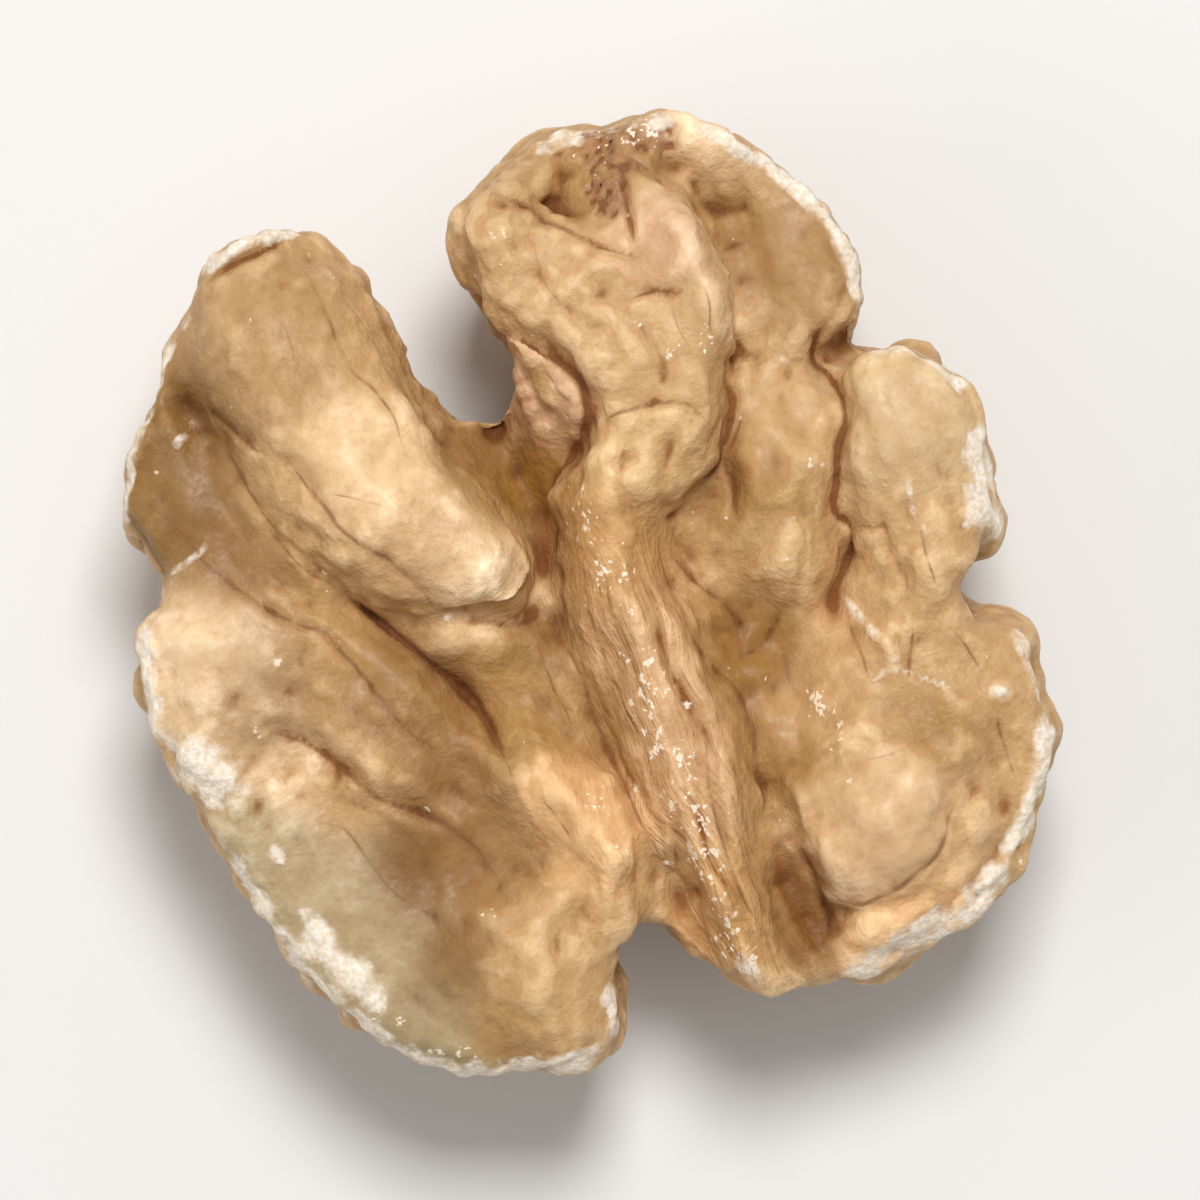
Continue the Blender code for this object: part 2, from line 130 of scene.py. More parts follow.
# Each crease is (depth, half width, lip, points). The lip stands on the left of its path, or on
# the right where it has a minus sign.
CREASES = {
    "left_lobe_groove": (0.12, 0.40, 0.0, [
        (-9.0, 11.2), (-8.1, 9.4), (-7.2, 7.9), (-6.6, 6.2), (-5.9, 4.6), (-5.0, 3.0),
        (-4.4, 1.4)]),
    "left_lobe": (0.14, 0.45, 0.15, [
        (-9.4, 11.9), (-9.1, 10.4), (-8.9, 8.6), (-8.6, 6.6), (-8.1, 5.0), (-7.4, 3.7),
        (-6.8, 2.6)]),
    "left_lobe_low": (0.26, 0.16, 0.12, [
        (-7.1, 3.4), (-6.5, 2.2), (-6.0, 1.2), (-5.4, 0.1), (-4.7, -1.2), (-4.35, -2.4),
        (-4.3, -4.2)]),
    "left_lobe_slit": (0.30, 0.13, 0.0, [(-9.05, 11.1), (-8.6, 10.3), (-8.0, 9.0)]),
    "knob_foot": (0.20, 0.22, 0.12, [
        (-3.9, 0.9), (-3.0, 0.5), (-2.2, 0.1), (-1.5, 0.2), (-0.9, 0.9)]),
    "band_edge": (0.08, 0.18, 0.08, [
        (-11.6, 0.1), (-10.6, -0.7), (-9.8, -1.5), (-9.3, -2.4), (-8.8, -3.4), (-8.0, -4.2),
        (-7.2, -5.0), (-6.6, -6.0)]),
    "middle_left": (0.40, 0.17, 0.10, [
        (1.2, 10.4), (1.5, 9.6), (2.1, 8.7), (2.6, 7.8), (2.95, 6.8), (2.9, 6.0), (2.4, 5.2),
        (1.8, 4.7), (1.0, 4.0)]),
    "middle_right": (0.16, 0.35, -0.15, [
        (8.4, 12.4), (9.2, 11.2), (9.6, 9.8), (9.5, 8.2), (9.0, 6.6)]),
    "middle_foot": (0.30, 0.18, -0.15, [
        (9.0, 6.8), (8.4, 5.8), (7.9, 4.9), (7.4, 3.9), (6.7, 2.9), (5.6, 2.2), (4.2, 1.8)]),
    "plateau_edge": (0.30, 0.14, 0.15, [
        (11.9, 5.7), (11.1, 5.2), (10.7, 4.5), (10.95, 3.8), (11.15, 3.1), (10.9, 2.2), (10.3, 1.5),
        (9.8, 0.5), (9.35, -0.5), (9.75, -1.2), (9.4, -1.9), (8.7, -2.6), (7.9, -3.3)]),
    "plateau_branch": (0.15, 0.14, 0.0, [(9.8, -1.2), (10.3, -1.5), (10.8, -1.7)]),
    "knob_moat": (0.30, 0.25, 0.15, [
        (2.4, 14.4), (2.9, 13.5), (3.9, 12.9), (4.9, 13.1), (5.3, 14.2)]),
    "knob_dip": (0.20, 0.35, 0.0, [(5.3, 14.6), (5.4, 13.9), (5.5, 13.3)]),
    "bulge_ring": (0.09, 0.13, 0.08, [
        (3.9, -11.6), (4.3, -12.4), (5.0, -13.0), (6.2, -13.2), (7.5, -12.9), (8.4, -12.2),
        (9.1, -11.2), (9.4, -10.2)]),
    "keel_right": (0.20, 0.18, 0.08, [
        (3.4, 1.2), (3.3, -0.4), (3.2, -1.9), (3.4, -3.3), (3.8, -4.8), (3.9, -6.3), (3.6, -7.8),
        (3.4, -9.6)]),
    "keel_outer_right": (0.08, 0.15, 0.0, [(3.6, 0.5), (4.0, -0.8), (4.6, -2.0), (5.1, -3.3)]),
    "keel_left": (0.08, 0.18, 0.0, [
        (-1.6, -0.4), (-1.2, -2.4), (-1.0, -4.6), (-0.9, -8.0), (-0.5, -11.4)]),
    "ridge_foot": (0.08, 0.40, 0.0, [(-4.3, -4.4), (-4.6, -5.8), (-4.5, -7.6), (-4.2, -9.4)]),
    "flap_under": (0.22, 0.12, 0.0, [(-7.5, 14.8), (-6.4, 15.1), (-5.2, 15.15), (-3.9, 15.5)]),
    "pit_side": (0.20, 0.25, 0.0, [(3.6, -9.8), (3.75, -11.2), (3.75, -12.6), (3.6, -14.0)]),
    "spoon_edge": (0.20, 0.30, 0.0, [(9.0, 12.0), (9.3, 11.0), (9.9, 10.4), (10.9, 10.2)]),
    "vee_left": (0.13, 0.20, 0.14, [
        (3.0, 13.8), (3.6, 13.0), (4.5, 12.0), (5.4, 11.0), (6.2, 10.2), (6.8, 9.8)]),
    "vee_right": (0.20, 0.14, 0.0, [(7.5, 13.6), (7.0, 12.4), (6.7, 11.3), (6.5, 10.2)]),
    "vee_panel": (0.12, 0.9, 0.0, [(5.6, 14.0), (6.0, 12.8), (6.2, 11.6), (6.4, 10.6)]),
    "gold_knob_edge": (0.09, 0.25, 0.0, [
        (3.7, 12.8), (3.3, 11.4), (3.3, 10.0), (3.9, 8.8), (4.8, 8.1)]),
    "middle_across": (0.08, 0.18, 0.10, [(5.2, 8.8), (6.3, 8.8), (7.6, 8.2)]),
    "middle_arch": (0.07, 0.12, -0.08, [
        (2.9, 5.2), (4.2, 5.4), (5.3, 5.2), (6.0, 4.7), (6.5, 4.0)]),
    "inner_right": (0.25, 0.20, 0.12, [(7.9, 3.9), (7.2, 3.0), (6.7, 2.2), (6.4, 1.2), (6.2, 0.2)]),
    "wing_fold": (0.05, 0.20, 0.0, [(-10.9, 8.4), (-10.2, 8.2), (-9.5, 7.7)]),
    "shoulder_line": (0.07, 0.20, 0.0, [
        (-11.2, 6.2), (-10.6, 5.2), (-9.9, 4.1), (-8.9, 3.1), (-8.1, 2.2), (-7.7, 0.6),
        (-7.2, -1.2), (-6.6, -2.5), (-5.8, -3.5)]),
}
# Each ridge is (height, half width, points), and each knob is (height, half width, x, y).
RIDGES = {
    "left_valley_floor": (0.55, 1.1, [
        (-8.9, 7.4), (-8.4, 5.4), (-7.2, 2.8), (-5.8, 0.4), (-4.8, -2.2)]),
    "middle_right_floor": (0.45, 0.9, [
        (9.5, 9.8), (9.3, 7.6), (8.7, 5.4), (7.0, 3.2), (5.2, 1.8), (4.0, 0.6)]),
    "plateau_floor": (0.40, 0.7, [(10.9, 4.0), (10.6, 2.4), (9.7, 0.4), (9.2, -1.2), (8.2, -3.0)]),
    "bulge_floor": (0.75, 0.9, [
        (3.6, -13.8), (5.0, -14.0), (6.8, -14.0), (8.6, -13.2), (9.8, -11.8), (10.0, -10.0)]),
    "foot_to_keel": (0.35, 1.2, [(4.0, 4.0), (2.8, 3.0), (2.0, 1.8), (1.7, 0.0)]),
    "keel_right_floor": (0.28, 0.6, [(3.6, 1.0), (3.6, -3.0), (3.8, -6.5), (3.4, -10.0)]),
    "keel_left_floor": (0.60, 0.7, [(-1.1, 0.6), (-0.9, -3.0), (-0.8, -7.0), (-0.6, -11.0)]),
    "bulge_left": (0.45, 0.6, [(4.1, -7.6), (4.3, -9.4), (4.4, -11.0), (4.6, -12.8)]),
    "dip_floor": (0.80, 1.2, [
        (-6.9, -4.0), (-6.5, -5.6), (-5.8, -7.0), (-4.9, -8.4), (-4.0, -9.8)]),
    "knob_foot_floor": (0.80, 0.8, [
        (-5.6, 1.4), (-4.6, 0.5), (-3.2, 0.0), (-1.8, -0.2), (-0.6, 0.5)]),
    "right_valley_floor": (0.40, 0.8, [
        (4.2, 0.4), (4.8, -1.6), (5.0, -3.8), (4.8, -6.2), (4.8, -8.0)]),
    "right_valley_low": (0.50, 1.0, [(4.6, -5.0), (4.5, -7.0), (4.5, -8.6), (4.9, -10.0)]),
    "band_floor": (0.50, 0.9, [(-9.4, -2.0), (-8.2, -4.0), (-7.0, -5.6), (-6.4, -7.4)]),
    "middle_upright": (0.35, 0.55, [(8.0, 11.8), (8.3, 10.2), (8.3, 8.4), (8.3, 7.0), (8.6, 5.9)]),
    "middle_cross": (0.20, 0.9, [(3.4, 4.2), (4.6, 4.2), (5.6, 3.9), (6.2, 3.3)]),
    "middle_front": (0.20, 0.7, [(4.3, 9.6), (4.2, 8.2), (4.3, 6.8)]),
    "left_lobe_fill": (0.80, 0.6, [
        (-9.3, 10.6), (-9.1, 8.6), (-8.8, 6.8), (-8.3, 5.2), (-7.6, 3.9), (-6.8, 2.8)]),
    "left_lobe_crown": (0.25, 1.7, [(-5.2, 9.6), (-4.9, 7.6), (-4.9, 5.8), (-4.3, 4.0)]),
    "left_lobe_rib": (0.16, 0.6, [(-8.4, 9.6), (-8.0, 7.6), (-7.5, 5.6), (-6.7, 3.9), (-5.9, 2.2)]),
    "warm_ridge": (0.45, 0.5, [(-3.3, -4.8), (-2.6, -6.4), (-2.2, -8.0), (-2.2, -9.4)]),
    "keel_crown": (0.30, 0.5, [
        (1.9, 2.6), (1.6, 0.4), (1.4, -3.0), (1.0, -6.5), (0.7, -10.0), (0.6, -13.6)]),
    "keel_fork": (0.30, 0.35, [(2.9, -5.6), (2.5, -7.2), (2.1, -9.0), (1.9, -10.8)]),
    "left_fold": (0.15, 0.4, [(-9.4, -0.8), (-8.9, -2.0), (-8.2, -3.2)]),
    "plateau_rim": (0.15, 0.5, [(11.9, 4.0), (13.2, 3.6), (14.2, 2.6), (14.6, 0.8), (14.4, -1.6)]),
    "spoon_lip": (0.40, 0.35, [(10.2, 13.3), (11.6, 12.0), (12.6, 10.2), (13.0, 8.2), (12.9, 6.2)]),
    "wing_lip": (0.15, 0.3, [(-9.6, 13.2), (-11.2, 11.4), (-12.6, 9.6), (-13.2, 8.0)]),
    "right_fold": (0.25, 0.4, [(8.7, 4.2), (8.5, 3.0), (8.8, 1.8), (9.2, 1.0)]),
    "top_flap": (0.55, 0.3, [(-7.4, 15.4), (-6.4, 15.6), (-5.2, 15.7), (-3.6, 15.8)]),
    "right_streak": (0.20, 0.2, [(8.4, -3.2), (8.8, -4.4), (9.2, -5.4), (9.4, -6.4)]),
}
KNOBS = [
    (0.35, 0.9, -2.2, 2.0), (0.25, 0.6, -1.9, 0.9), (0.30, 0.7, 6.7, -1.3), (0.35, 0.6, 9.2, 1.4),
    (0.35, 1.0, 4.0, 14.0), (0.25, 1.2, -11.0, -1.9), (0.30, 0.7, -8.6, -2.6),
    (0.25, 1.3, -11.4, 2.8), (0.25, 1.4, 12.4, 1.0), (0.20, 0.8, 8.2, -10.0),
    (0.20, 0.7, 2.0, 12.2), (0.30, 0.4, 12.1, -8.3), (0.25, 0.5, 10.3, 5.3),
    (0.20, 0.6, -6.4, -11.8), (0.20, 0.7, 4.0, -14.6), (0.55, 0.75, 10.1, -9.9),
    (0.25, 1.6, 6.8, -10.9), (0.55, 0.9, -11.3, 0.3), (0.55, 0.8, -4.4, -9.0),
    (0.35, 0.9, -8.9, -9.7), (0.30, 0.6, 5.0, -4.6), (0.20, 0.9, 4.6, 10.4), (0.20, 0.8, 7.8, 9.4),
    (0.18, 0.8, 5.4, 7.2), (0.18, 0.7, 12.6, 3.0), (0.18, 0.8, 11.6, -6.2), (0.18, 0.8, 9.4, -3.4),
    (0.80, 0.7, -1.0, 0.5), (0.35, 0.6, 4.3, 0.9), (0.25, 0.8, -4.9, -9.9), (0.35, 0.5, 8.0, 4.8),
]

# Where a lobe's edge lies a little off its place, the skin is first pushed sideways: each push
# is (x, y, how far in x, how far in y, reach). The hollow beside the keel's tip is filled up to
# a slope: (x, y, height, reach). Then the skin is eased where it should run on without a dip:
# (x, y, reach).
PUSHES = [(8.8, 4.9, -1.0, 0.1, 1.3), (7.6, 2.9, -0.8, 0.3, 1.1), (4.4, -11.8, -0.7, 0.0, 1.4),
          (4.4, -13.2, -0.3, 0.0, 1.0), (4.5, -9.4, -0.4, 0.0, 1.2), (3.4, 7.0, -0.5, 0.0, 1.0)]
FILLED = [(x, y, 11.5 + 0.20 * (y + 9.8) - drop, 0.7)
          for y in (-9.4, -10.6, -11.8, -13.0, -14.2)
          for x, drop in ((2.2, 0.1), (2.8, 0.7), (3.4, 1.2))]
FILLED += [(x, y, height, 0.4)
           for y in (6.0, 6.7, 7.4, 8.0) for x, height in ((1.3, 10.3), (1.65, 10.8), (2.9, 11.9))]
EASED = [
    (4.8, -1.6, 1.3), (4.9, -4.4, 1.6), (4.7, -7.2, 1.3), (4.8, -9.4, 1.0), (-4.4, -9.0, 1.2),
    (-5.4, -6.8, 1.6), (-6.6, -5.2, 1.3), (-11.3, 0.3, 1.4), (-8.9, -9.7, 1.2), (-8.2, 5.0, 0.9),
    (-7.4, 3.6, 0.9), (-8.8, 7.2, 0.8), (-4.8, 1.2, 1.0), (-3.2, 0.6, 1.0), (5.6, 13.3, 1.0),
    (9.9, 10.9, 1.0), (9.0, 3.6, 1.2), (2.9, -9.6, 1.1), (2.8, -10.8, 1.0), (2.8, -12.0, 1.0),
    (2.9, -13.4, 1.1), (-5.0, -8.2, 1.3), (9.7, -10.4, 1.3), (4.8, -9.0, 1.3), (-0.7, -9.8, 1.0),
    (-11.2, -1.2, 1.2), (9.6, 8.5, 0.9), (7.9, 4.9, 0.8), (9.7, 9.8, 0.9), (9.4, 7.2, 0.9),
    (2.2, 7.8, 0.8), (2.0, 6.4, 0.8), (4.8, 1.2, 0.8), (4.6, -4.0, 1.3),
]
EASING_ROUNDS = 60
EASING_PASSES = 2
LEAST_WEIGHT = 1e-9
PATH_REACH = 3.0
FAR = 99.0


def from_spot(points, x, y):
    """Distance of each point from the spot (x, y), seen from above."""
    return np.hypot(points[:, 0] - x, points[:, 1] - y)


def bell(away, half_width):
    """1 in the middle, fading softly to nothing beyond the half width."""
    return np.exp(-((away / half_width) ** 2))


def spotted(points, spots):
    """How well the spots (x, y, reach) cover each point: 1 in the middle of a spot."""
    covered_share = np.zeros(len(points))
    for x, y, reach in spots:
        covered_share = np.maximum(covered_share, bell(from_spot(points, x, y), reach))
    return covered_share


def smooth_path(points, step=0.25):
    """Points along a smooth curve through the given (x, y) points."""
    knots = [np.array(point, float) for point in points]
    knots = [2 * knots[0] - knots[1], *knots, 2 * knots[-1] - knots[-2]]
    path = []
    for a, b, c, d in zip(knots, knots[1:], knots[2:], knots[3:]):
        count = max(1, round(float(np.linalg.norm(c - b)) / step))
        for t in np.arange(count) / count:
            bend = (2 * a - 5 * b + 4 * c - d) * t**2 + (3 * b - a - 3 * c + d) * t**3
            path.append(b + 0.5 * ((c - a) * t + bend))
    return np.array(path + [knots[-2]])


def to_path(points, path):
    """Signed distance of each point from a path, positive on its left, and its share along."""
    signed = np.full(len(points), FAR)
    along = np.zeros(len(points))
    middle = path.mean(axis=0)
    reach = np.linalg.norm(path - middle, axis=1).max() + PATH_REACH
    near = np.linalg.norm(points - middle, axis=1) < reach
    some = points[near]
    best_some = np.full(len(some), FAR)
    signed_some, along_some = signed[near], along[near]
    for i, (a, b) in enumerate(zip(path, path[1:])):
        run = b - a
        t = np.clip((some - a) @ run / (run @ run), 0.0, 1.0)
        away = some - a - t[:, None] * run
        distance = np.linalg.norm(away, axis=1)
        closer = distance < best_some
        side = np.sign(run[0] * away[:, 1] - run[1] * away[:, 0])
        side[side == 0] = 1.0
        best_some[closer] = distance[closer]
        signed_some[closer] = (side * distance)[closer]
        along_some[closer] = (i + t[closer]) / (len(path) - 1)
    signed[near], along[near] = signed_some, along_some
    return signed, along


def tapered(along, share):
    """0 at both ends of a path, and 1 from this share of its length on."""
    return ramp(along, 0.0, share) * ramp(1.0 - along, 0.0, share)


for x, y, over, up, reach in PUSHES:
    share = inner * bell(from_spot(places, x, y), reach)
    places[:, 0] += over * share
    places[:, 1] += up * share
target = np.zeros(len(places))
weight = np.full(len(places), LEAST_WEIGHT)
filling = np.zeros(len(places))
for x, y, height, reach in FILLED:
    share = bell(from_spot(places, x, y), reach)
    target += share * height
    weight += share
    filling = np.maximum(filling, share)
places[:, 2] += inner * filling * np.maximum(target / weight - places[:, 2], 0.0)
easing = spotted(places, EASED)
for _ in range(EASING_PASSES):
    eased = neighbour_mean(skin, places, EASING_ROUNDS)
    places += (easing * inner)[:, None] * (eased - places)

flat_places = places[:, :2].copy()
flat_3d = np.column_stack([flat_places, np.zeros(len(places))])
relief = np.zeros(len(places))
for depth, half_width, lip, points in CREASES.values():
    away, along = to_path(flat_places, smooth_path(points))
    taper = tapered(along, CREASE_TAPER)
    beside = np.sign(lip) * away - LIP_PLACE
    relief += taper * abs(lip) * bell(beside, LIP_HALF)
    relief -= taper * depth * bell(away, half_width)
for height, half_width, points in RIDGES.values():
    away, along = to_path(flat_places, smooth_path(points))
    relief += tapered(along, RIDGE_TAPER) * height * bell(away, half_width)
for height, half_width, x, y in KNOBS:
    relief += height * bell(from_spot(flat_places, x, y), half_width)

# The skin is puckered in long folds, which run down each lobe and valley as it grew. Each band
# is (height, spacing of its folds, their length, reach to each side, the line they follow).
BANDS = {
    "left_lobe": (0.07, 1.5, 7.0, 3.0, [(-6.2, 15.0), (-6.2, 11.0), (-5.4, 6.0), (-3.2, 1.4)]),
    "left_valley": (0.11, 1.0, 4.5, 1.8, [
        (-9.6, 9.6), (-8.9, 6.2), (-7.6, 3.0), (-6.1, -0.4), (-5.4, -4.0)]),
    "wing": (0.07, 1.3, 4.0, 1.6, [(-11.4, 12.0), (-11.6, 9.0), (-11.0, 6.0)]),
    "shoulder": (0.14, 1.6, 4.0, 2.4, [(-13.6, 3.6), (-11.2, 2.0), (-8.6, -0.8)]),
    "band": (0.10, 1.6, 8.0, 2.2, [(-12.6, -1.6), (-11.6, -5.4), (-10.2, -9.4), (-7.6, -13.0)]),
    "band_edge": (0.12, 1.1, 5.0, 1.6, [(-10.2, -1.2), (-8.4, -3.6), (-7.0, -6.6), (-7.2, -9.6)]),
    "flank": (0.10, 1.1, 5.0, 2.0, [(-3.4, 0.2), (-3.2, -3.4), (-3.2, -7.0), (-2.6, -10.4)]),
    "middle": (0.18, 1.6, 5.0, 2.8, [(3.4, 13.4), (4.6, 9.6), (5.4, 6.0), (3.6, 2.8)]),
    "spoon": (0.12, 1.6, 6.0, 1.6, [(10.6, 12.4), (11.4, 9.4), (11.2, 6.2)]),
    "inner_right": (0.14, 1.2, 2.6, 2.0, [(9.6, 4.4), (8.4, 2.0), (6.6, -0.8), (5.0, -3.0)]),
    "right_low": (0.16, 1.5, 4.0, 2.6, [(8.0, -1.6), (6.4, -4.6), (6.4, -8.0)]),
    "right_rim": (0.20, 1.6, 4.0, 2.6, [
        (12.6, 3.6), (12.2, -1.6), (11.4, -6.4), (11.4, -10.0), (8.4, -13.8)]),
    "bottom_left": (0.10, 1.6, 4.0, 2.4, [(-6.0, -8.6), (-6.2, -13.6)]),
}
KEEL_LINE = [(1.8, 4.2), (1.6, 1.0), (1.5, -3.0), (1.4, -7.0), (1.2, -11.0), (1.4, -15.4)]
KEEL_HALF = 2.5
FLANK_LINE = [(-2.0, 0.2), (-2.1, -3.0), (-2.4, -6.0), (-2.0, -9.6)]
FLANK_HALF = 1.3
PIT_LINE = [(3.2, -10.2), (3.1, -12.0), (3.1, -14.2)]
FIBRE_HEIGHT = 0.10
FIBRE_SPACING = 0.5
FIBRE_LENGTH = 4.0
FINE_SHARE = 0.7
COARSE_SHARE = 2.2
FLANK_SHARE = 0.35
FOLD_SWAY = 0.45
SWAY_SIZE = 2.2
FOLD_CREST = 2.2
FOLD_MEAN = 0.45


def noise_at(points, size, seed=0.0):
    """Soft random values from -1 to 1, with lumps of about this size."""
    offset = Vector((seed, -seed, 0.5 * seed))
    return np.array([noise.noise(Vector(p) / size + offset) for p in points])


def rounded_folds(values):
    """Rounded folds with sharp creases between, from soft random values."""
    return FOLD_CREST * np.abs(values) - FOLD_MEAN


def long_folds(line, spacing, length, seed):
    """Folds that run along a line, and each point's distance from the line."""
    path = smooth_path(line)
    away, along = to_path(flat_places, path)
    away = away + FOLD_SWAY * noise_at(flat_3d, SWAY_SIZE, seed + 7.0)
    run = np.linalg.norm(np.diff(path, axis=0), axis=1).sum()
    drawn_out = np.column_stack([away / spacing, along * run / length, np.full(len(away), seed)])
    return rounded_folds(noise_at(drawn_out, 1.0, seed)), np.abs(away)


for seed, (height, spacing, length, reach, line) in enumerate(BANDS.values()):
    folds, away = long_folds(line, spacing, length, 3.3 + seed)
    relief += height * (1 - ramp(away, 0.5 * reach, reach)) * folds

# Fibres run the length of the keel, and more faintly down the flank beside it.
fibre_lines, keel_away = long_folds(KEEL_LINE, FIBRE_SPACING, FIBRE_LENGTH, 41.0)
coarse_lines, _ = long_folds(KEEL_LINE, 2.4 * FIBRE_SPACING, 1.6 * FIBRE_LENGTH, 43.0)
_, flank_away = long_folds(FLANK_LINE, 1.0, 1.0, 0.0)
on_keel = 1 - ramp(keel_away, 0.6 * KEEL_HALF, 1.3 * KEEL_HALF)
on_flank = 1 - ramp(flank_away, 0.6 * FLANK_HALF, 1.3 * FLANK_HALF)
_, pit_away = long_folds(PIT_LINE, 1.0, 1.0, 0.0)
on_keel *= ramp(pit_away, 0.5, 1.3) * (1 - ramp(flat_places[:, 1], 0.0, 3.0))
fibrous = np.maximum(on_keel, FLANK_SHARE * on_flank)
patchy = 0.6 + 0.8 * ramp(noise_at(flat_3d, 1.8, 29.0), -0.3, 0.3)
relief += FIBRE_HEIGHT * fibrous * patchy * (FINE_SHARE * fibre_lines + COARSE_SHARE * coarse_lines)

# The veins, each (half width, points). Each vertex keeps its signed distance from the nearest
# vein of a set and that vein's width, so veins that meet are in different sets.
VEIN_DEPTH = 0.05
VEIN_HALO = 0.3
VEIN_EDGE = 0.08
VEIN_WANDER = 0.08
MAIN_VEINS = {
    "left_lobe_long": (0.085, [
        (-7.2, 8.3), (-7.0, 7.4), (-6.6, 6.4), (-6.3, 5.4), (-5.9, 4.6), (-5.3, 3.9), (-5.0, 3.2),
        (-4.7, 2.4), (-4.5, 1.6), (-4.2, 1.0)]),
    "left_lobe_right": (0.06, [
        (-4.1, 14.4), (-4.0, 13.0), (-4.0, 11.6), (-3.9, 10.4), (-3.6, 9.4), (-3.3, 8.4),
        (-3.3, 6.8)]),
    "left_lobe_faint": (0.035, [(-5.5, 12.8), (-5.5, 11.8), (-5.7, 11.1)]),
    "slit": (0.12, [(-9.05, 11.1), (-8.6, 10.2), (-8.0, 8.9)]),
    "wing": (0.075, [
        (-12.2, 8.9), (-11.8, 8.2), (-11.4, 7.2), (-11.2, 6.3), (-10.7, 5.4), (-10.3, 4.7),
        (-10.0, 4.2), (-9.4, 3.6), (-8.8, 3.0), (-8.2, 2.4), (-7.9, 1.4), (-7.6, 0.3), (-7.3, -0.8),
        (-6.9, -2.0), (-6.3, -2.8), (-5.8, -3.5)]),
    "left_lobe_foot": (0.10, [
        (-7.0, 3.1), (-6.5, 2.2), (-6.0, 1.3), (-5.5, 0.3), (-5.1, -0.5), (-4.6, -1.5),
        (-4.4, -2.3), (-4.3, -3.3), (-4.25, -4.4)]),
    "band_edge": (0.10, [
        (-11.2, -0.2), (-10.6, -0.7), (-9.9, -1.4), (-9.4, -2.2), (-9.1, -2.9), (-8.7, -3.6),
        (-8.0, -4.2), (-7.3, -4.9), (-6.9, -5.5), (-6.3, -6.4), (-6.1, -7.4)]),
    "band_long": (0.06, [
        (-11.0, -3.4), (-10.3, -4.0), (-10.0, -5.0), (-9.6, -6.4), (-9.2, -7.2), (-8.6, -8.0),
        (-8.2, -9.0), (-8.0, -10.2)]),
    "middle_left": (0.11, [
        (1.3, 9.9), (1.8, 9.2), (2.3, 8.3), (2.7, 7.5), (2.95, 6.7), (2.9, 6.0), (2.5, 5.3),
        (2.0, 4.9), (1.4, 4.2)]),
    "vee_left": (0.08, [
        (2.9, 13.9), (3.5, 13.2), (4.1, 12.4), (4.8, 11.7), (5.5, 10.8), (6.1, 10.3)]),
    "vee_right": (0.08, [(7.3, 13.3), (6.9, 12.3), (6.6, 11.3), (6.5, 10.7)]),
    "middle_across": (0.05, [(5.6, 8.8), (6.6, 8.7), (7.4, 8.3)]),
    "inner_right": (0.08, [(7.8, 3.8), (7.2, 3.1), (6.6, 2.4), (6.4, 1.6), (6.2, 0.4)]),
    "plateau": (0.08, [
        (11.8, 5.6), (11.2, 5.3), (10.8, 4.9), (10.7, 4.3), (11.0, 3.8), (11.15, 3.2), (11.0, 2.5),
        (10.5, 1.7), (10.1, 1.2), (9.7, 0.2), (9.3, -0.6), (9.75, -1.2), (9.5, -1.8), (8.8, -2.5),
        (7.9, -3.3)]),
    "low_right_one": (0.05, [(11.7, -2.0), (11.6, -3.2), (11.4, -4.3)]),
    "low_right_two": (0.06, [(8.4, -4.2), (8.3, -5.2), (8.2, -6.2)]),
    "low_right_three": (0.07, [(10.2, -5.2), (9.8, -6.0), (9.4, -6.8)]),
    "low_right_four": (0.05, [(11.4, -5.6), (11.7, -6.6), (11.9, -7.6)]),
    "low_right_five": (0.05, [(11.8, -8.8), (11.6, -10.0), (11.5, -11.5)]),
    "bulge_ring": (0.08, [
        (4.0, -12.2), (4.6, -12.8), (5.4, -13.1), (6.4, -13.1), (7.6, -12.8), (8.4, -12.2),
        (9.0, -11.4)]),
    "keel_right": (0.07, [
        (3.4, 1.2), (3.3, 0.0), (3.2, -1.6), (3.3, -2.8), (3.6, -3.8), (3.9, -5.0), (3.95, -6.4),
        (3.6, -7.4), (3.5, -8.6), (3.4, -10.0)]),
    "keel_middle": (0.06, [(0.3, 0.8), (0.3, -1.0), (0.2, -3.0), (0.3, -5.0), (0.1, -7.0)]),
    "keel_left": (0.07, [(-1.0, -0.3), (-0.8, -2.0), (-0.9, -4.0), (-0.9, -7.0), (-0.6, -9.6)]),
    "fork": (0.06, [
        (2.4, -5.6), (1.9, -7.0), (1.6, -8.2), (1.4, -9.8), (1.4, -11.4), (1.6, -13.0)]),
    "ridge": (0.045, [(-3.7, -5.4), (-3.3, -7.0), (-3.0, -8.4)]),
}
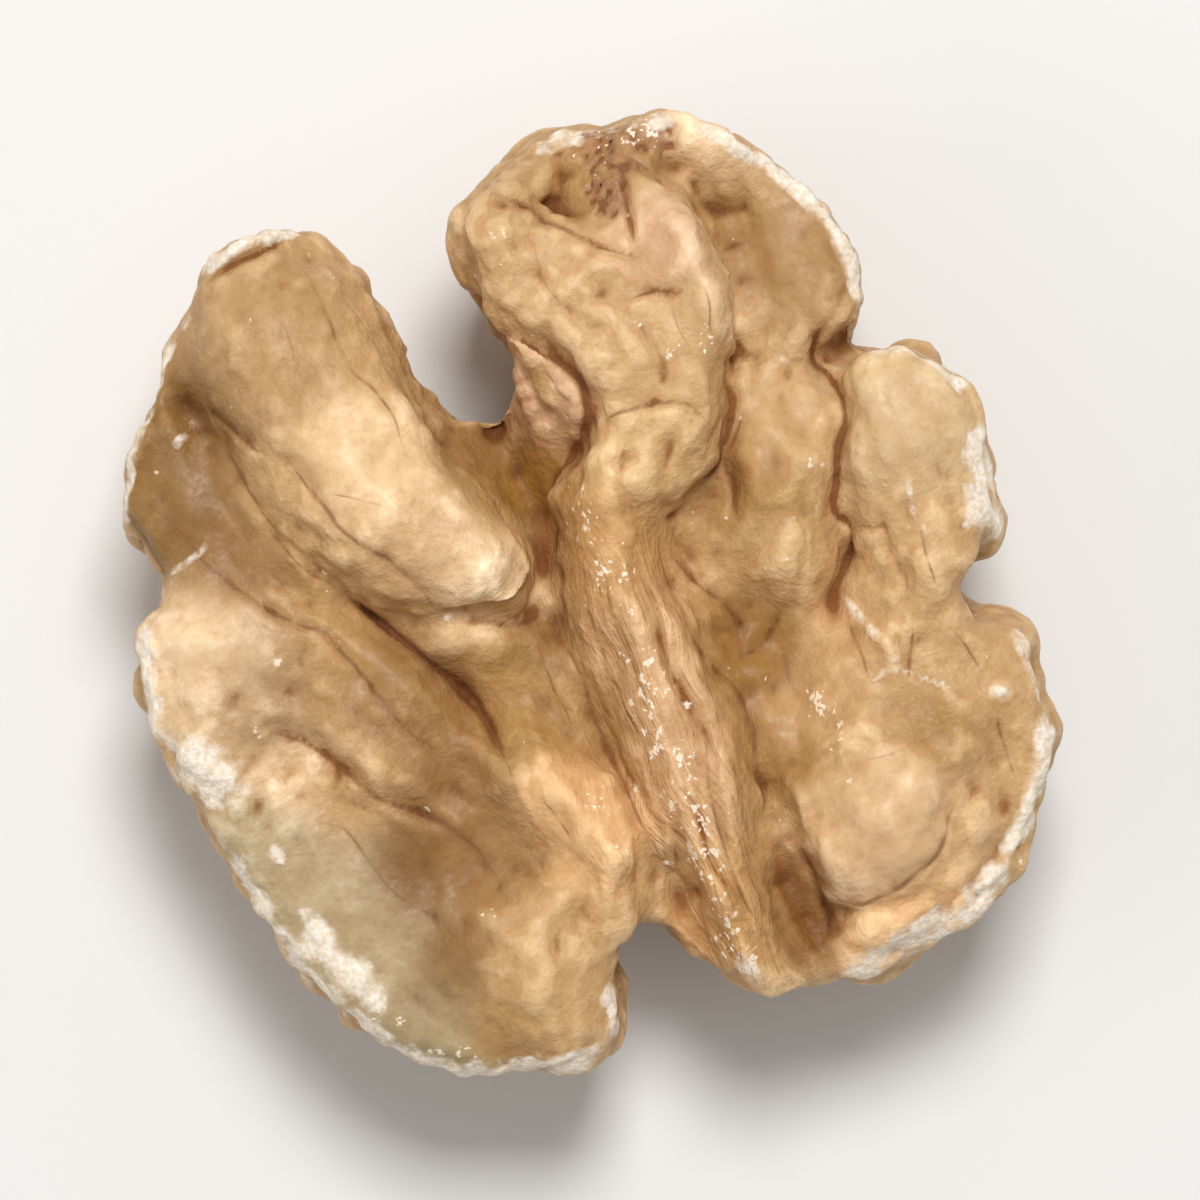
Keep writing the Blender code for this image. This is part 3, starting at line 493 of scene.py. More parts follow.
SIDE_VEINS = {
    "left_lobe_short": (0.04, [(-6.3, 6.7), (-5.7, 6.3), (-5.0, 5.8), (-4.4, 5.2)]),
    "left_lobe_edge": (0.03, [(-3.3, 13.4), (-3.1, 12.0), (-2.8, 10.6), (-2.6, 9.4)]),
    "valley": (0.07, [(-8.7, 6.6), (-8.3, 5.3), (-7.8, 4.3), (-7.2, 3.4)]),
    "wing_fold": (0.03, [(-10.8, 8.3), (-10.2, 8.2), (-9.5, 7.8)]),
    "band_low": (0.035, [(-8.5, -4.6), (-8.2, -5.4), (-8.0, -6.4)]),
    "middle_arch": (0.07, [
        (2.9, 5.3), (4.2, 5.35), (5.2, 5.2), (5.9, 4.9), (6.3, 4.4), (6.5, 3.9)]),
    "vee_far": (0.07, [(7.6, 13.2), (8.0, 12.5), (8.3, 11.9)]),
    "middle_foot": (0.06, [(7.3, 3.6), (6.5, 2.8), (5.6, 2.2), (4.6, 1.9)]),
    "plateau_branch": (0.06, [(9.8, -1.2), (10.3, -1.5), (10.8, -1.7)]),
    "keel_outer_right": (0.07, [(3.6, 0.6), (4.0, -0.8), (4.6, -2.0), (5.0, -3.1)]),
    "keel_far_left": (0.05, [(-1.8, -0.6), (-1.8, -2.4), (-1.7, -4.2)]),
    "pit_side": (0.06, [(3.7, -10.6), (3.8, -12.0), (3.8, -13.4)]),
    "fork_side": (0.04, [(2.2, -9.0), (1.9, -10.4), (1.9, -12.0)]),
    "middle_wrinkle": (0.035, [(6.9, 8.2), (6.8, 7.4), (6.9, 6.5)]),
    "middle_gather": (0.04, [(8.2, 8.3), (8.0, 7.4), (7.8, 6.6), (8.1, 5.8)]),
    "gold_knob_edge": (0.03, [(3.6, 12.2), (3.3, 11.2), (3.3, 10.0), (3.8, 9.0)]),
    "right_mound": (0.03, [(5.2, -2.2), (6.4, -1.9), (7.8, -2.4), (9.2, -1.6)]),
    "right_cross": (0.03, [(6.6, -8.6), (7.8, -8.9), (9.2, -8.8), (10.2, -8.8)]),
    "keel_second": (0.04, [(1.0, -0.6), (1.0, -2.4), (0.9, -4.2)]),
    "spoon_edge": (0.06, [(9.1, 11.9), (9.3, 11.0), (9.8, 10.5), (10.6, 10.2)]),
}


wander = VEIN_WANDER * noise_at(flat_3d, 0.9, 11.0)


def nearest_vein(veins):
    """Signed distance of each vertex from the nearest vein, and the half width of that vein."""
    distance = np.full(len(places), FAR)
    width = np.zeros(len(places))
    for half_width, points in veins.values():
        away, along = to_path(flat_places, smooth_path(points))
        away = away + wander
        taper = 0.65 * ramp(along, 0.0, 0.25) * ramp(1.0 - along, 0.0, 0.3)
        thickness = half_width * (0.35 + taper)
        nearer = np.abs(away) < np.abs(distance)
        distance[nearer] = away[nearer]
        width[nearer] = thickness[nearer]
    return distance, width * facing_up


main_distance, main_width = nearest_vein(MAIN_VEINS)
side_distance, side_width = nearest_vein(SIDE_VEINS)
for distance, width in ((main_distance, main_width), (side_distance, side_width)):
    groove = bell(distance, width + VEIN_EDGE) * ramp(width, 0.01, 0.08)
    relief -= VEIN_DEPTH * groove

places[:, 2] += inner * relief

# The skin is drawn over the flesh with slight swellings a few millimetres wide, finer ones on
# top of those, and on the outer side shallow wrinkles. It is smoothest where it lies loose.
# Each of these lists gives (size, height, seed), and CALM gives (x, y, reach).
SWELLINGS = [(4.2, 0.16, 21.0), (2.0, 0.13, 37.0), (1.1, 0.09, 53.0), (0.6, 0.05, 71.0)]
WRINKLES = [(2.6, 0.22, 5.0), (1.2, 0.09, 15.0)]
CRUMPLES = [(1.9, 0.055, 9.0), (0.9, 0.035, 19.0)]
CALM = [
    (-11.0, -7.0, 3.0), (-10.0, -11.0, 2.6), (11.3, 8.0, 2.4), (6.8, -10.8, 2.6),
    (-5.2, 7.6, 2.4), (-11.8, 3.6, 2.2), (4.8, -6.0, 2.0), (-2.6, -7.0, 1.4),
    (-10.4, 8.2, 2.2), (-7.2, -6.4, 2.0), (8.8, 3.0, 2.0), (12.8, 1.6, 2.0),
    (4.8, -3.4, 1.6), (-7.4, 1.0, 1.6),
]
SWELLING_GAIN = 1.6
CRUMPLE_SWAY = 0.8
calm = spotted(flat_places, CALM)
swelling = np.zeros(len(places))
for size, height, seed in SWELLINGS:
    swelling += height * noise_at(places, size, seed) * SWELLING_GAIN
# It is also slightly crumpled, as drying skin is, with soft facets between fine creases.
sway = np.column_stack([noise_at(places, 2.4, seed) for seed in (47.0, 59.0, 73.0)])
for size, height, seed in CRUMPLES:
    swelling -= height * (1.0 - 2.5 * np.abs(noise_at(places + CRUMPLE_SWAY * sway, size, seed)))
wrinkled = np.zeros(len(places))
for size, height, seed in WRINKLES:
    wrinkled += height * rounded_folds(noise_at(places, size, seed))
lively = 0.5 + 0.9 * ramp(noise_at(places, 5.0, 83.0), -0.35, 0.4)
on_top = facing_up * lively * (1.0 - 0.7 * calm) * (swelling + 0.2 * wrinkled)
uneven = on_top + (1.0 - facing_up) * (swelling + wrinkled)
uneven *= (1.0 - 0.6 * fibrous * facing_up) * ramp(places[:, 2], 0.0, 0.5)
places += uneven[:, None] * normals

# The crumbled patch at the top of the middle lobe, where the skin is broken into pits.
CRUMBS = [(7.2, 13.9, 1.7), (6.4, 12.4, 1.0), (8.8, 13.6, 0.9)]
CRUMB_SIZE = 0.34
CRUMB_SINK, CRUMB_DEPTH = 0.05, 0.28
crumbled = np.zeros(len(places))
for x, y, reach in CRUMBS:
    away = from_spot(flat_places, x, y)
    crumbled = np.maximum(crumbled, 1 - ramp(away, 0.5 * reach, reach))
crumbled *= facing_up
pits = ramp(noise_at(places, CRUMB_SIZE, 91.0), -0.05, 0.4)
places[:, 2] -= crumbled * (CRUMB_SINK + CRUMB_DEPTH * pits)


# What colours the skin: the papery pellicle is tan on the lobes, with painted shade in the creases
# and hollows and painted highlights on the crests and in small glints, dusky and greenish where it
# lies loose and see-through on the left, pinkish on the fibrous keel, and rubbed through to the
# cream flesh along the rim. Each is kept on the mesh as an attribute.
TAN = (0.55, 0.325, 0.142)
TAWNY = (0.45, 0.258, 0.108)
GOLD = (0.60, 0.365, 0.160)
HONEY = (0.64, 0.400, 0.200)
SANDY = (0.60, 0.395, 0.195)
DUN = (0.43, 0.262, 0.122)
IVORY = (0.72, 0.490, 0.268)
PALE = (0.74, 0.490, 0.260)
# A painted highlight, on the left lobe's crown and on its knob.
SUNLIT = (0.80, 0.530, 0.285)
ROSY = (0.62, 0.365, 0.195)
PINKISH = (0.56, 0.305, 0.135)
COPPER = (0.54, 0.280, 0.104)
# Peach of the band along the lower right, also a painted highlight along the warm ridge.
PEACH = (0.72, 0.410, 0.180)
# A painted highlight on the left lobe's knob.
KNOB_HIGHLIGHT = (0.95, 0.700, 0.420)
DUSK = (0.225, 0.105, 0.026)
BROWN = (0.31, 0.155, 0.050)
UMBER = (0.31, 0.145, 0.034)
SMOKY = (0.24, 0.118, 0.030)
OLIVE = (0.44, 0.320, 0.170)
MOSS = (0.37, 0.268, 0.135)
# Painted shade in the deep sinus below the cleft.
SINUS_SHADE = (0.31, 0.145, 0.026)
# Painted shade in the hollow beside the keel's tip.
PIT_SHADE = (0.19, 0.066, 0.008)
OCHRE = (0.40, 0.212, 0.068)
OUTER_TAN = (0.50, 0.285, 0.112)
TINT_SOFTNESS = 1.6
BRIGHTNESS = 1.01
UNTOUCHED = 0.02
# Where each colour lies on the inner side: (colour, reach, x, y). The light tints on the left
# lobe's crown, its knob and the warm ridge are painted highlights, and the dark tints in the sinus
# and in the pit beside the keel's tip are painted shade.
TINTS = [
    (TAWNY, 2.6, -6.0, 12.6), (SUNLIT, 1.9, -4.9, 7.2), (GOLD, 1.4, -2.8, 10.6),
    (GOLD, 1.6, -7.6, 7.2), (TAN, 1.8, -6.4, 3.9), (HONEY, 1.5, -3.6, 4.2),
    (SUNLIT, 1.5, -2.2, 2.0), (SMOKY, 2.4, -11.4, 8.6), (SMOKY, 1.6, -10.2, 11.2),
    (BROWN, 1.7, -9.9, 5.8), (IVORY, 2.2, -12.2, 3.2), (DUN, 2.0, -10.6, 1.4),
    (OCHRE, 1.6, -8.2, 3.0), (BROWN, 1.6, -7.2, -0.2), (BROWN, 1.8, -6.0, -3.4),
    (OCHRE, 1.4, -8.4, 0.6), (TAN, 1.2, -8.8, -2.5), (PALE, 1.2, -11.2, -1.8),
    (OLIVE, 2.2, -12.4, -4.4), (OLIVE, 2.2, -11.2, -7.6), (MOSS, 2.0, -10.2, -11.8),
    (DUSK, 1.5, -8.6, -6.4), (DUSK, 1.3, -8.4, -9.6), (OCHRE, 1.5, -7.8, -12.4),
    (BROWN, 1.5, -6.2, -6.6), (TAN, 2.2, -6.0, -11.2), (TAN, 1.5, -4.8, -13.4),
    (PEACH, 1.4, -2.9, -6.0), (PEACH, 1.3, -2.3, -8.0), (OCHRE, 1.6, -3.0, -2.2),
    (BROWN, 1.1, -1.5, -0.8), (OCHRE, 1.3, -1.0, -4.0), (TAN, 1.0, -0.8, -9.6),
    (KNOB_HIGHLIGHT, 1.1, -2.1, 1.8), (TAN, 1.1, -10.2, -3.2), (TAWNY, 1.0, 11.6, 6.2),
    (SINUS_SHADE, 1.3, -0.2, 4.4), (BROWN, 1.2, -0.9, 6.0), (OCHRE, 1.0, -0.8, 2.0),
    (ROSY, 1.3, 1.8, 6.8), (COPPER, 1.8, 1.6, 1.6), (PINKISH, 2.0, 1.4, -2.8),
    (PINKISH, 1.8, 1.3, -6.6), (COPPER, 1.6, 0.8, -11.4), (UMBER, 1.5, 4.6, -3.6),
    (OCHRE, 1.3, 4.4, -7.6), (PIT_SHADE, 1.0, 3.1, -11.6), (PIT_SHADE, 0.9, 3.1, -13.2),
    (HONEY, 2.4, 6.6, -11.0), (TAN, 1.6, 6.8, -6.4), (TAN, 2.2, 9.8, -5.0), (OCHRE, 1.4, 9.8, -8.6),
    (SANDY, 2.4, 12.6, 1.0), (TAN, 1.6, 11.4, -2.2), (TAN, 2.0, 12.2, -8.4),
    (TAN, 1.6, 11.0, -12.0), (PEACH, 1.8, 6.6, -14.6), (TAN, 1.4, 7.0, -1.2),
    (OCHRE, 1.4, 7.2, 1.2), (TAN, 1.4, 9.2, 2.2), (TAN, 2.2, 4.6, 8.4), (ROSY, 1.5, 7.4, 10.4),
    (HONEY, 1.4, 8.2, 7.6), (GOLD, 1.8, 4.6, 4.0), (TAN, 1.6, 7.0, 6.0), (TAN, 1.6, 2.0, 12.0),
    (OCHRE, 1.6, 6.8, 13.4), (TAWNY, 1.2, 3.8, 14.2), (TAWNY, 2.2, 11.0, 8.4),
    (PALE, 1.5, 10.4, 12.4), (OCHRE, 1.2, 9.8, 10.4),
]
# Where the rim is worn pale: (strength, half width, points). The gleam at the notch is a painted
# highlight in the same pale colour.
WORN_AND_GLEAM = {
    "left_upper": (0.9, 0.55, [(-14.3, 5.2), (-14.4, 3.9), (-14.8, 2.6), (-15.1, 1.2)]),
    "left_patch": (1.0, 1.0, [(-14.4, 0.6), (-13.9, -0.4), (-13.4, -1.3)]),
    "left_dots": (0.5, 0.4, [(-12.8, -3.6), (-12.5, -4.2)]),
    "left_strip": (0.95, 0.6, [(-12.7, -6.4), (-12.4, -7.6), (-11.8, -8.8), (-11.7, -10.2)]),
    "left_rim": (1.0, 0.7, [
        (-14.8, -2.6), (-14.4, -5.0), (-13.8, -7.6), (-13.0, -9.8), (-12.0, -11.5), (-10.8, -13.0),
        (-9.1, -13.9), (-6.6, -14.6), (-4.6, -14.8)]),
    "lower_left_corner": (0.9, 0.4, [(-4.6, -14.2), (-4.2, -13.6), (-4.0, -12.6)]),
    "lower_right_band": (0.75, 0.60, [
        (3.6, -15.3), (5.2, -15.2), (7.0, -14.9), (8.8, -14.5), (10.2, -13.9)]),
    "lower_right_rim": (0.95, 0.5, [(10.2, -13.8), (11.6, -12.6), (12.6, -11.2), (13.3, -9.8)]),
    "right_low_rim": (0.7, 0.35, [(13.4, -9.4), (13.6, -7.8), (13.6, -6.4)]),
    "right_rim": (1.0, 0.75, [(15.1, 0.3), (14.7, -1.0), (14.3, -2.2), (14.2, -3.4)]),
    "right_upper_rim": (0.8, 0.3, [(12.4, 4.0), (13.7, 3.8), (14.6, 2.8), (15.0, 1.4)]),
    "spoon_rim": (1.0, 0.38, [
        (10.0, 13.4), (11.2, 12.2), (12.3, 10.6), (13.0, 8.8), (13.2, 7.0), (13.1, 5.4)]),
    "top_rim": (0.6, 0.40, [(4.6, 15.1), (6.4, 14.7), (8.0, 14.5), (9.4, 13.8)]),
    "top_flap": (1.0, 0.42, [(-7.4, 15.5), (-6.2, 15.8), (-5.0, 15.8), (-3.6, 15.7)]),
    "wing_rim": (0.7, 0.3, [(-8.2, 14.6), (-9.8, 13.2), (-11.4, 11.4), (-12.8, 9.4), (-13.5, 8.0)]),
    "wing_tear": (0.6, 0.2, [(-10.6, 10.2), (-9.9, 10.6), (-9.6, 10.8)]),
    "wing_crease": (0.5, 0.2, [(-12.4, 6.3), (-11.4, 6.5), (-10.6, 6.9)]),
    "right_streak": (0.6, 0.2, [(8.5, -3.3), (8.8, -4.4), (9.2, -5.4), (9.3, -6.2)]),
    "right_branch": (0.45, 0.16, [(8.0, -6.4), (9.0, -6.2), (10.0, -7.0), (10.8, -7.8)]),
    "right_blob": (0.8, 0.28, [(11.7, -8.1), (12.3, -8.5)]),
    "right_fork": (0.5, 0.16, [(12.0, -0.4), (11.7, -1.8), (12.1, -2.6)]),
    "right_spur": (0.7, 0.22, [(14.4, -2.2), (13.6, -2.3), (13.2, -2.8)]),
    # A painted highlight at the notch.
    "notch_gleam": (0.5, 0.3, [(9.6, 5.0), (10.2, 4.9)]),
    "keel_end": (0.5, 0.4, [(0.4, -13.0), (0.9, -14.4)]),
}
# Where tiny painted glints gather: (strength, half width, points).
GLINT_SPOTS = {
    "keel_top": (0.9, 1.2, [(1.2, 3.2), (1.4, 1.4), (1.5, -0.4)]),
    "keel": (1.0, 1.1, [(1.2, -1.6), (0.9, -5.0), (0.7, -9.0), (0.4, -13.0), (1.0, -14.6)]),
    "right_cluster": (1.0, 0.6, [(6.4, -5.6), (6.3, -7.0), (6.4, -8.2)]),
    "middle_foot": (0.8, 0.6, [(7.4, 7.2), (7.7, 5.6)]),
    "middle_face": (0.6, 0.8, [(6.2, 8.0), (6.6, 6.6)]),
    "gold_knob": (0.6, 0.9, [(2.0, 13.4), (2.0, 11.4)]),
    "crumbs": (1.0, 1.0, [(5.8, 13.6), (7.6, 14.0), (9.0, 13.6)]),
    "inner_right": (0.8, 0.6, [(9.2, 1.8), (9.4, 1.0)]),
    "inner_low": (0.7, 0.8, [(6.2, -1.0), (7.4, -1.4)]),
    "lobe_edge": (0.7, 0.4, [(-7.8, 4.8), (-7.4, 4.2)]),
    "lobe_foot": (0.8, 0.4, [(-4.8, 1.2), (-3.9, 1.0)]),
    "ridge": (0.9, 0.6, [(-2.0, -5.8), (-2.0, -7.6), (-2.1, -8.8)]),
    "knob": (0.8, 0.6, [(-2.4, 2.2), (-1.8, 1.0)]),
    "bottom_left": (0.7, 0.5, [(-7.2, -8.6), (-6.2, -8.5)]),
    "left_rim": (0.6, 0.8, [(-12.4, -9.0), (-11.0, -11.8), (-9.4, -13.0)]),
    "shoulder_edge": (0.6, 0.4, [(-12.2, 0.1), (-11.4, 0.0)]),
    "left_face": (0.4, 1.0, [(-10.2, 2.6), (-9.4, 1.6)]),
}
STROKE_TAPER = 0.1


def painted(strokes):
    """How strongly brushed lines cover each vertex: 1 on a full line, fading out beside it."""
    cover = np.zeros(len(places))
    for strength, half_width, points in strokes.values():
        away, along = to_path(flat_places, smooth_path(points))
        taper = 0.5 + 0.5 * tapered(along, STROKE_TAPER)
        cover = np.maximum(cover, strength * taper * bell(away, half_width))
    return cover


def keep_value(mesh, name, values):
    attribute = mesh.attributes.new(name, "FLOAT", "POINT")
    attribute.data.foreach_set("value", np.asarray(values, np.float32))


def keep_colour(mesh, name, colours):
    attribute = mesh.attributes.new(name, "FLOAT_COLOR", "POINT")
    four = np.column_stack([colours, np.ones(len(colours))])
    attribute.data.foreach_set("color", four.astype(np.float32).reshape(-1))


def write_points(mesh, points):
    mesh.vertices.foreach_set("co", points.astype(np.float32).reshape(-1))
    mesh.update()


# The worn rim is rough, with thin flakes standing up from it.
FLAKE_HEIGHT = 0.12
RIM_FROM, RIM_TO = 6.0, 8.5
FINE_ROUNDS = 8
BROAD_ROUNDS = 110
rubbed_and_gleam = painted(WORN_AND_GLEAM) * ramp(places[:, 2], RIM_FROM, RIM_TO) * ramp(inner, 0.1, 0.6)
rubbed_and_gleam *= 0.35 + 0.65 * ramp(normals[:, 2], 0.0, 0.45)
ragged = noise_at(places, 0.7, 61.0) + 0.6 * noise_at(places, 0.35, 67.0)
places += (FLAKE_HEIGHT * ramp(rubbed_and_gleam, 0.2, 0.8) * ragged)[:, None] * normals

write_points(skin, places)
normals = read_points(skin, "normal")
fine_mean = neighbour_mean(skin, places, FINE_ROUNDS)
broad_mean = neighbour_mean(skin, fine_mean, BROAD_ROUNDS)
for name, values in {
    "fine_hollow": ((fine_mean - places) * normals).sum(axis=1),
    "broad_hollow": ((broad_mean - places) * normals).sum(axis=1),
    "main_distance": main_distance,
    "main_width": main_width,
    "side_distance": side_distance,
    "side_width": side_width,
    "main_near": bell(main_distance, VEIN_HALO),
    "side_near": bell(side_distance, VEIN_HALO),
    "fibrous": fibrous * facing_up,
    "rubbed_and_gleam": rubbed_and_gleam,
    "crumbled": crumbled,
    "calm": calm * facing_up,
    "outer": 1.0 - inner,
    "glint_gathering": painted(GLINT_SPOTS) * facing_up,
}.items():
    keep_value(skin, name, values)

tint = UNTOUCHED * np.ones((len(places), 1)) * np.array(TAN)
weight = np.full(len(places), UNTOUCHED)
for colour, reach, x, y in TINTS:
    share = np.exp(-TINT_SOFTNESS * (from_spot(flat_places, x, y) / reach) ** 2)
    tint += share[:, None] * np.array(colour)
    weight += share
tint *= BRIGHTNESS / weight[:, None]
upper = facing_up[:, None]
keep_colour(skin, "tint", upper * tint + (1 - upper) * np.array(OUTER_TAN))


def add_node(tree, kind, inputs=None, **settings):
    made = tree.nodes.new(kind)
    for name, value in settings.items():
        setattr(made, name, value)
    for name, value in (inputs or {}).items():
        if isinstance(value, bpy.types.NodeSocket):
            tree.links.new(value, made.inputs[name])
        else:
            made.inputs[name].default_value = value
    return made


def calculated(tree, operation, a, b=0.0, clamp=False):
    made = add_node(tree, "ShaderNodeMath", {0: a, 1: b}, operation=operation, use_clamp=clamp)
    return made.outputs[0]


def plus(tree, a, b):
    return calculated(tree, "ADD", a, b)


def times(tree, a, b):
    return calculated(tree, "MULTIPLY", a, b)


def larger(tree, a, b):
    return calculated(tree, "MAXIMUM", a, b)


def moved(tree, operation, *vectors):
    inputs = dict(enumerate(vectors))
    return add_node(tree, "ShaderNodeVectorMath", inputs, operation=operation).outputs[0]


def stepped(tree, value, low, high, start=0.0, end=1.0):
    inputs = {"Value": value, "From Min": low, "From Max": high, "To Min": start, "To Max": end}
    return add_node(tree, "ShaderNodeMapRange", inputs, interpolation_type="SMOOTHSTEP").outputs[0]


def blended(tree, factor, a, b, blend="MIX"):
    settings = {"data_type": "RGBA", "blend_type": blend}
    return add_node(tree, "ShaderNodeMix", {0: factor, 6: a, 7: b}, **settings).outputs[2]


def tinted(tree, factor, colour, red, green, blue):
    """The colour multiplied by these shares, as far as the factor says."""
    return blended(tree, factor, colour, (red, green, blue, 1.0), "MULTIPLY")


def kept(tree, name, output="Fac"):
    return add_node(tree, "ShaderNodeAttribute", attribute_name=name).outputs[output]


def speckle(tree, where, scale, detail, roughness=0.6, distortion=0.0):
    inputs = {"Vector": where, "Scale": scale, "Detail": detail, "Roughness": roughness}
    inputs["Distortion"] = distortion
    return add_node(tree, "ShaderNodeTexNoise", inputs).outputs["Fac"]


def drift(tree, where, scale):
    """A soft random vector, to bend what is drawn after it."""
    inputs = {"Vector": where, "Scale": scale, "Detail": 0.0}
    return add_node(tree, "ShaderNodeTexNoise", inputs).outputs["Color"]


def vein_line(tree, kind, broken):
    """1 on the veins of a set and 0 beside them, thinning out where the noise breaks them."""
    width = kept(tree, kind + "_width")
    away = calculated(tree, "ABSOLUTE", kept(tree, kind + "_distance"))
    in_widths = calculated(tree, "DIVIDE", away, larger(tree, width, 0.015))
    line = stepped(tree, in_widths, 0.35, 1.5, 1.0, 0.0)
    there = times(tree, stepped(tree, width, 0.008, 0.05), broken)
    near = stepped(tree, kept(tree, kind + "_near"), 0.3, 0.6)
    return times(tree, line, times(tree, there, near))


def round_glints(tree, where, scale, gathered):
    """Scattered round painted glints, more of them and larger where they gather."""
    shift = moved(tree, "MULTIPLY", drift(tree, where, 3.0 * scale), (0.5 / scale,) * 3)
    bent = moved(tree, "ADD", where, shift)
    cells = add_node(tree, "ShaderNodeTexVoronoi", {"Vector": bent, "Scale": scale})
    split = add_node(tree, "ShaderNodeSeparateColor", {"Color": cells.outputs["Color"]})
    chance = plus(tree, split.outputs[0], times(tree, gathered, 0.22))
    size = stepped(tree, chance, 0.95, 1.04, 0.0, 0.50)
    inside = calculated(tree, "SUBTRACT", size, cells.outputs["Distance"])
    return stepped(tree, inside, 0.0, 0.30)


def glints(tree, where, gathered):
    """Small ragged painted glints, in clusters where they gather."""
    clusters = times(tree, speckle(tree, where, 0.9, 1.0), 0.6)
    chance = plus(tree, speckle(tree, where, 4.2, 1.0), clusters)
    return stepped(tree, plus(tree, chance, times(tree, gathered, 0.36)), 1.17, 1.26)


# The material. Lengths in it are in millimetres. A colour is the tint kept on the mesh, made
# lighter or darker step by step; stepped() says from which value to which each step sets in.
VEIN_COLOUR = (0.22, 0.088, 0.032, 1.0)
CRUMB_COLOUR = (0.30, 0.13, 0.07, 1.0)
FLESH_COLOURS = (0.84, 0.69, 0.52, 1.0), (0.98, 0.91, 0.80, 1.0)
GLINT_COLOUR = (1.0, 0.86, 0.67, 1.0)
GRAIN_BUMP = 0.03
MOTTLE_BUMP = 0.07
BLOTCH_BUMP = 0.05
FIBRE_BUMP = 0.25
FLAKE_BUMP = 0.08


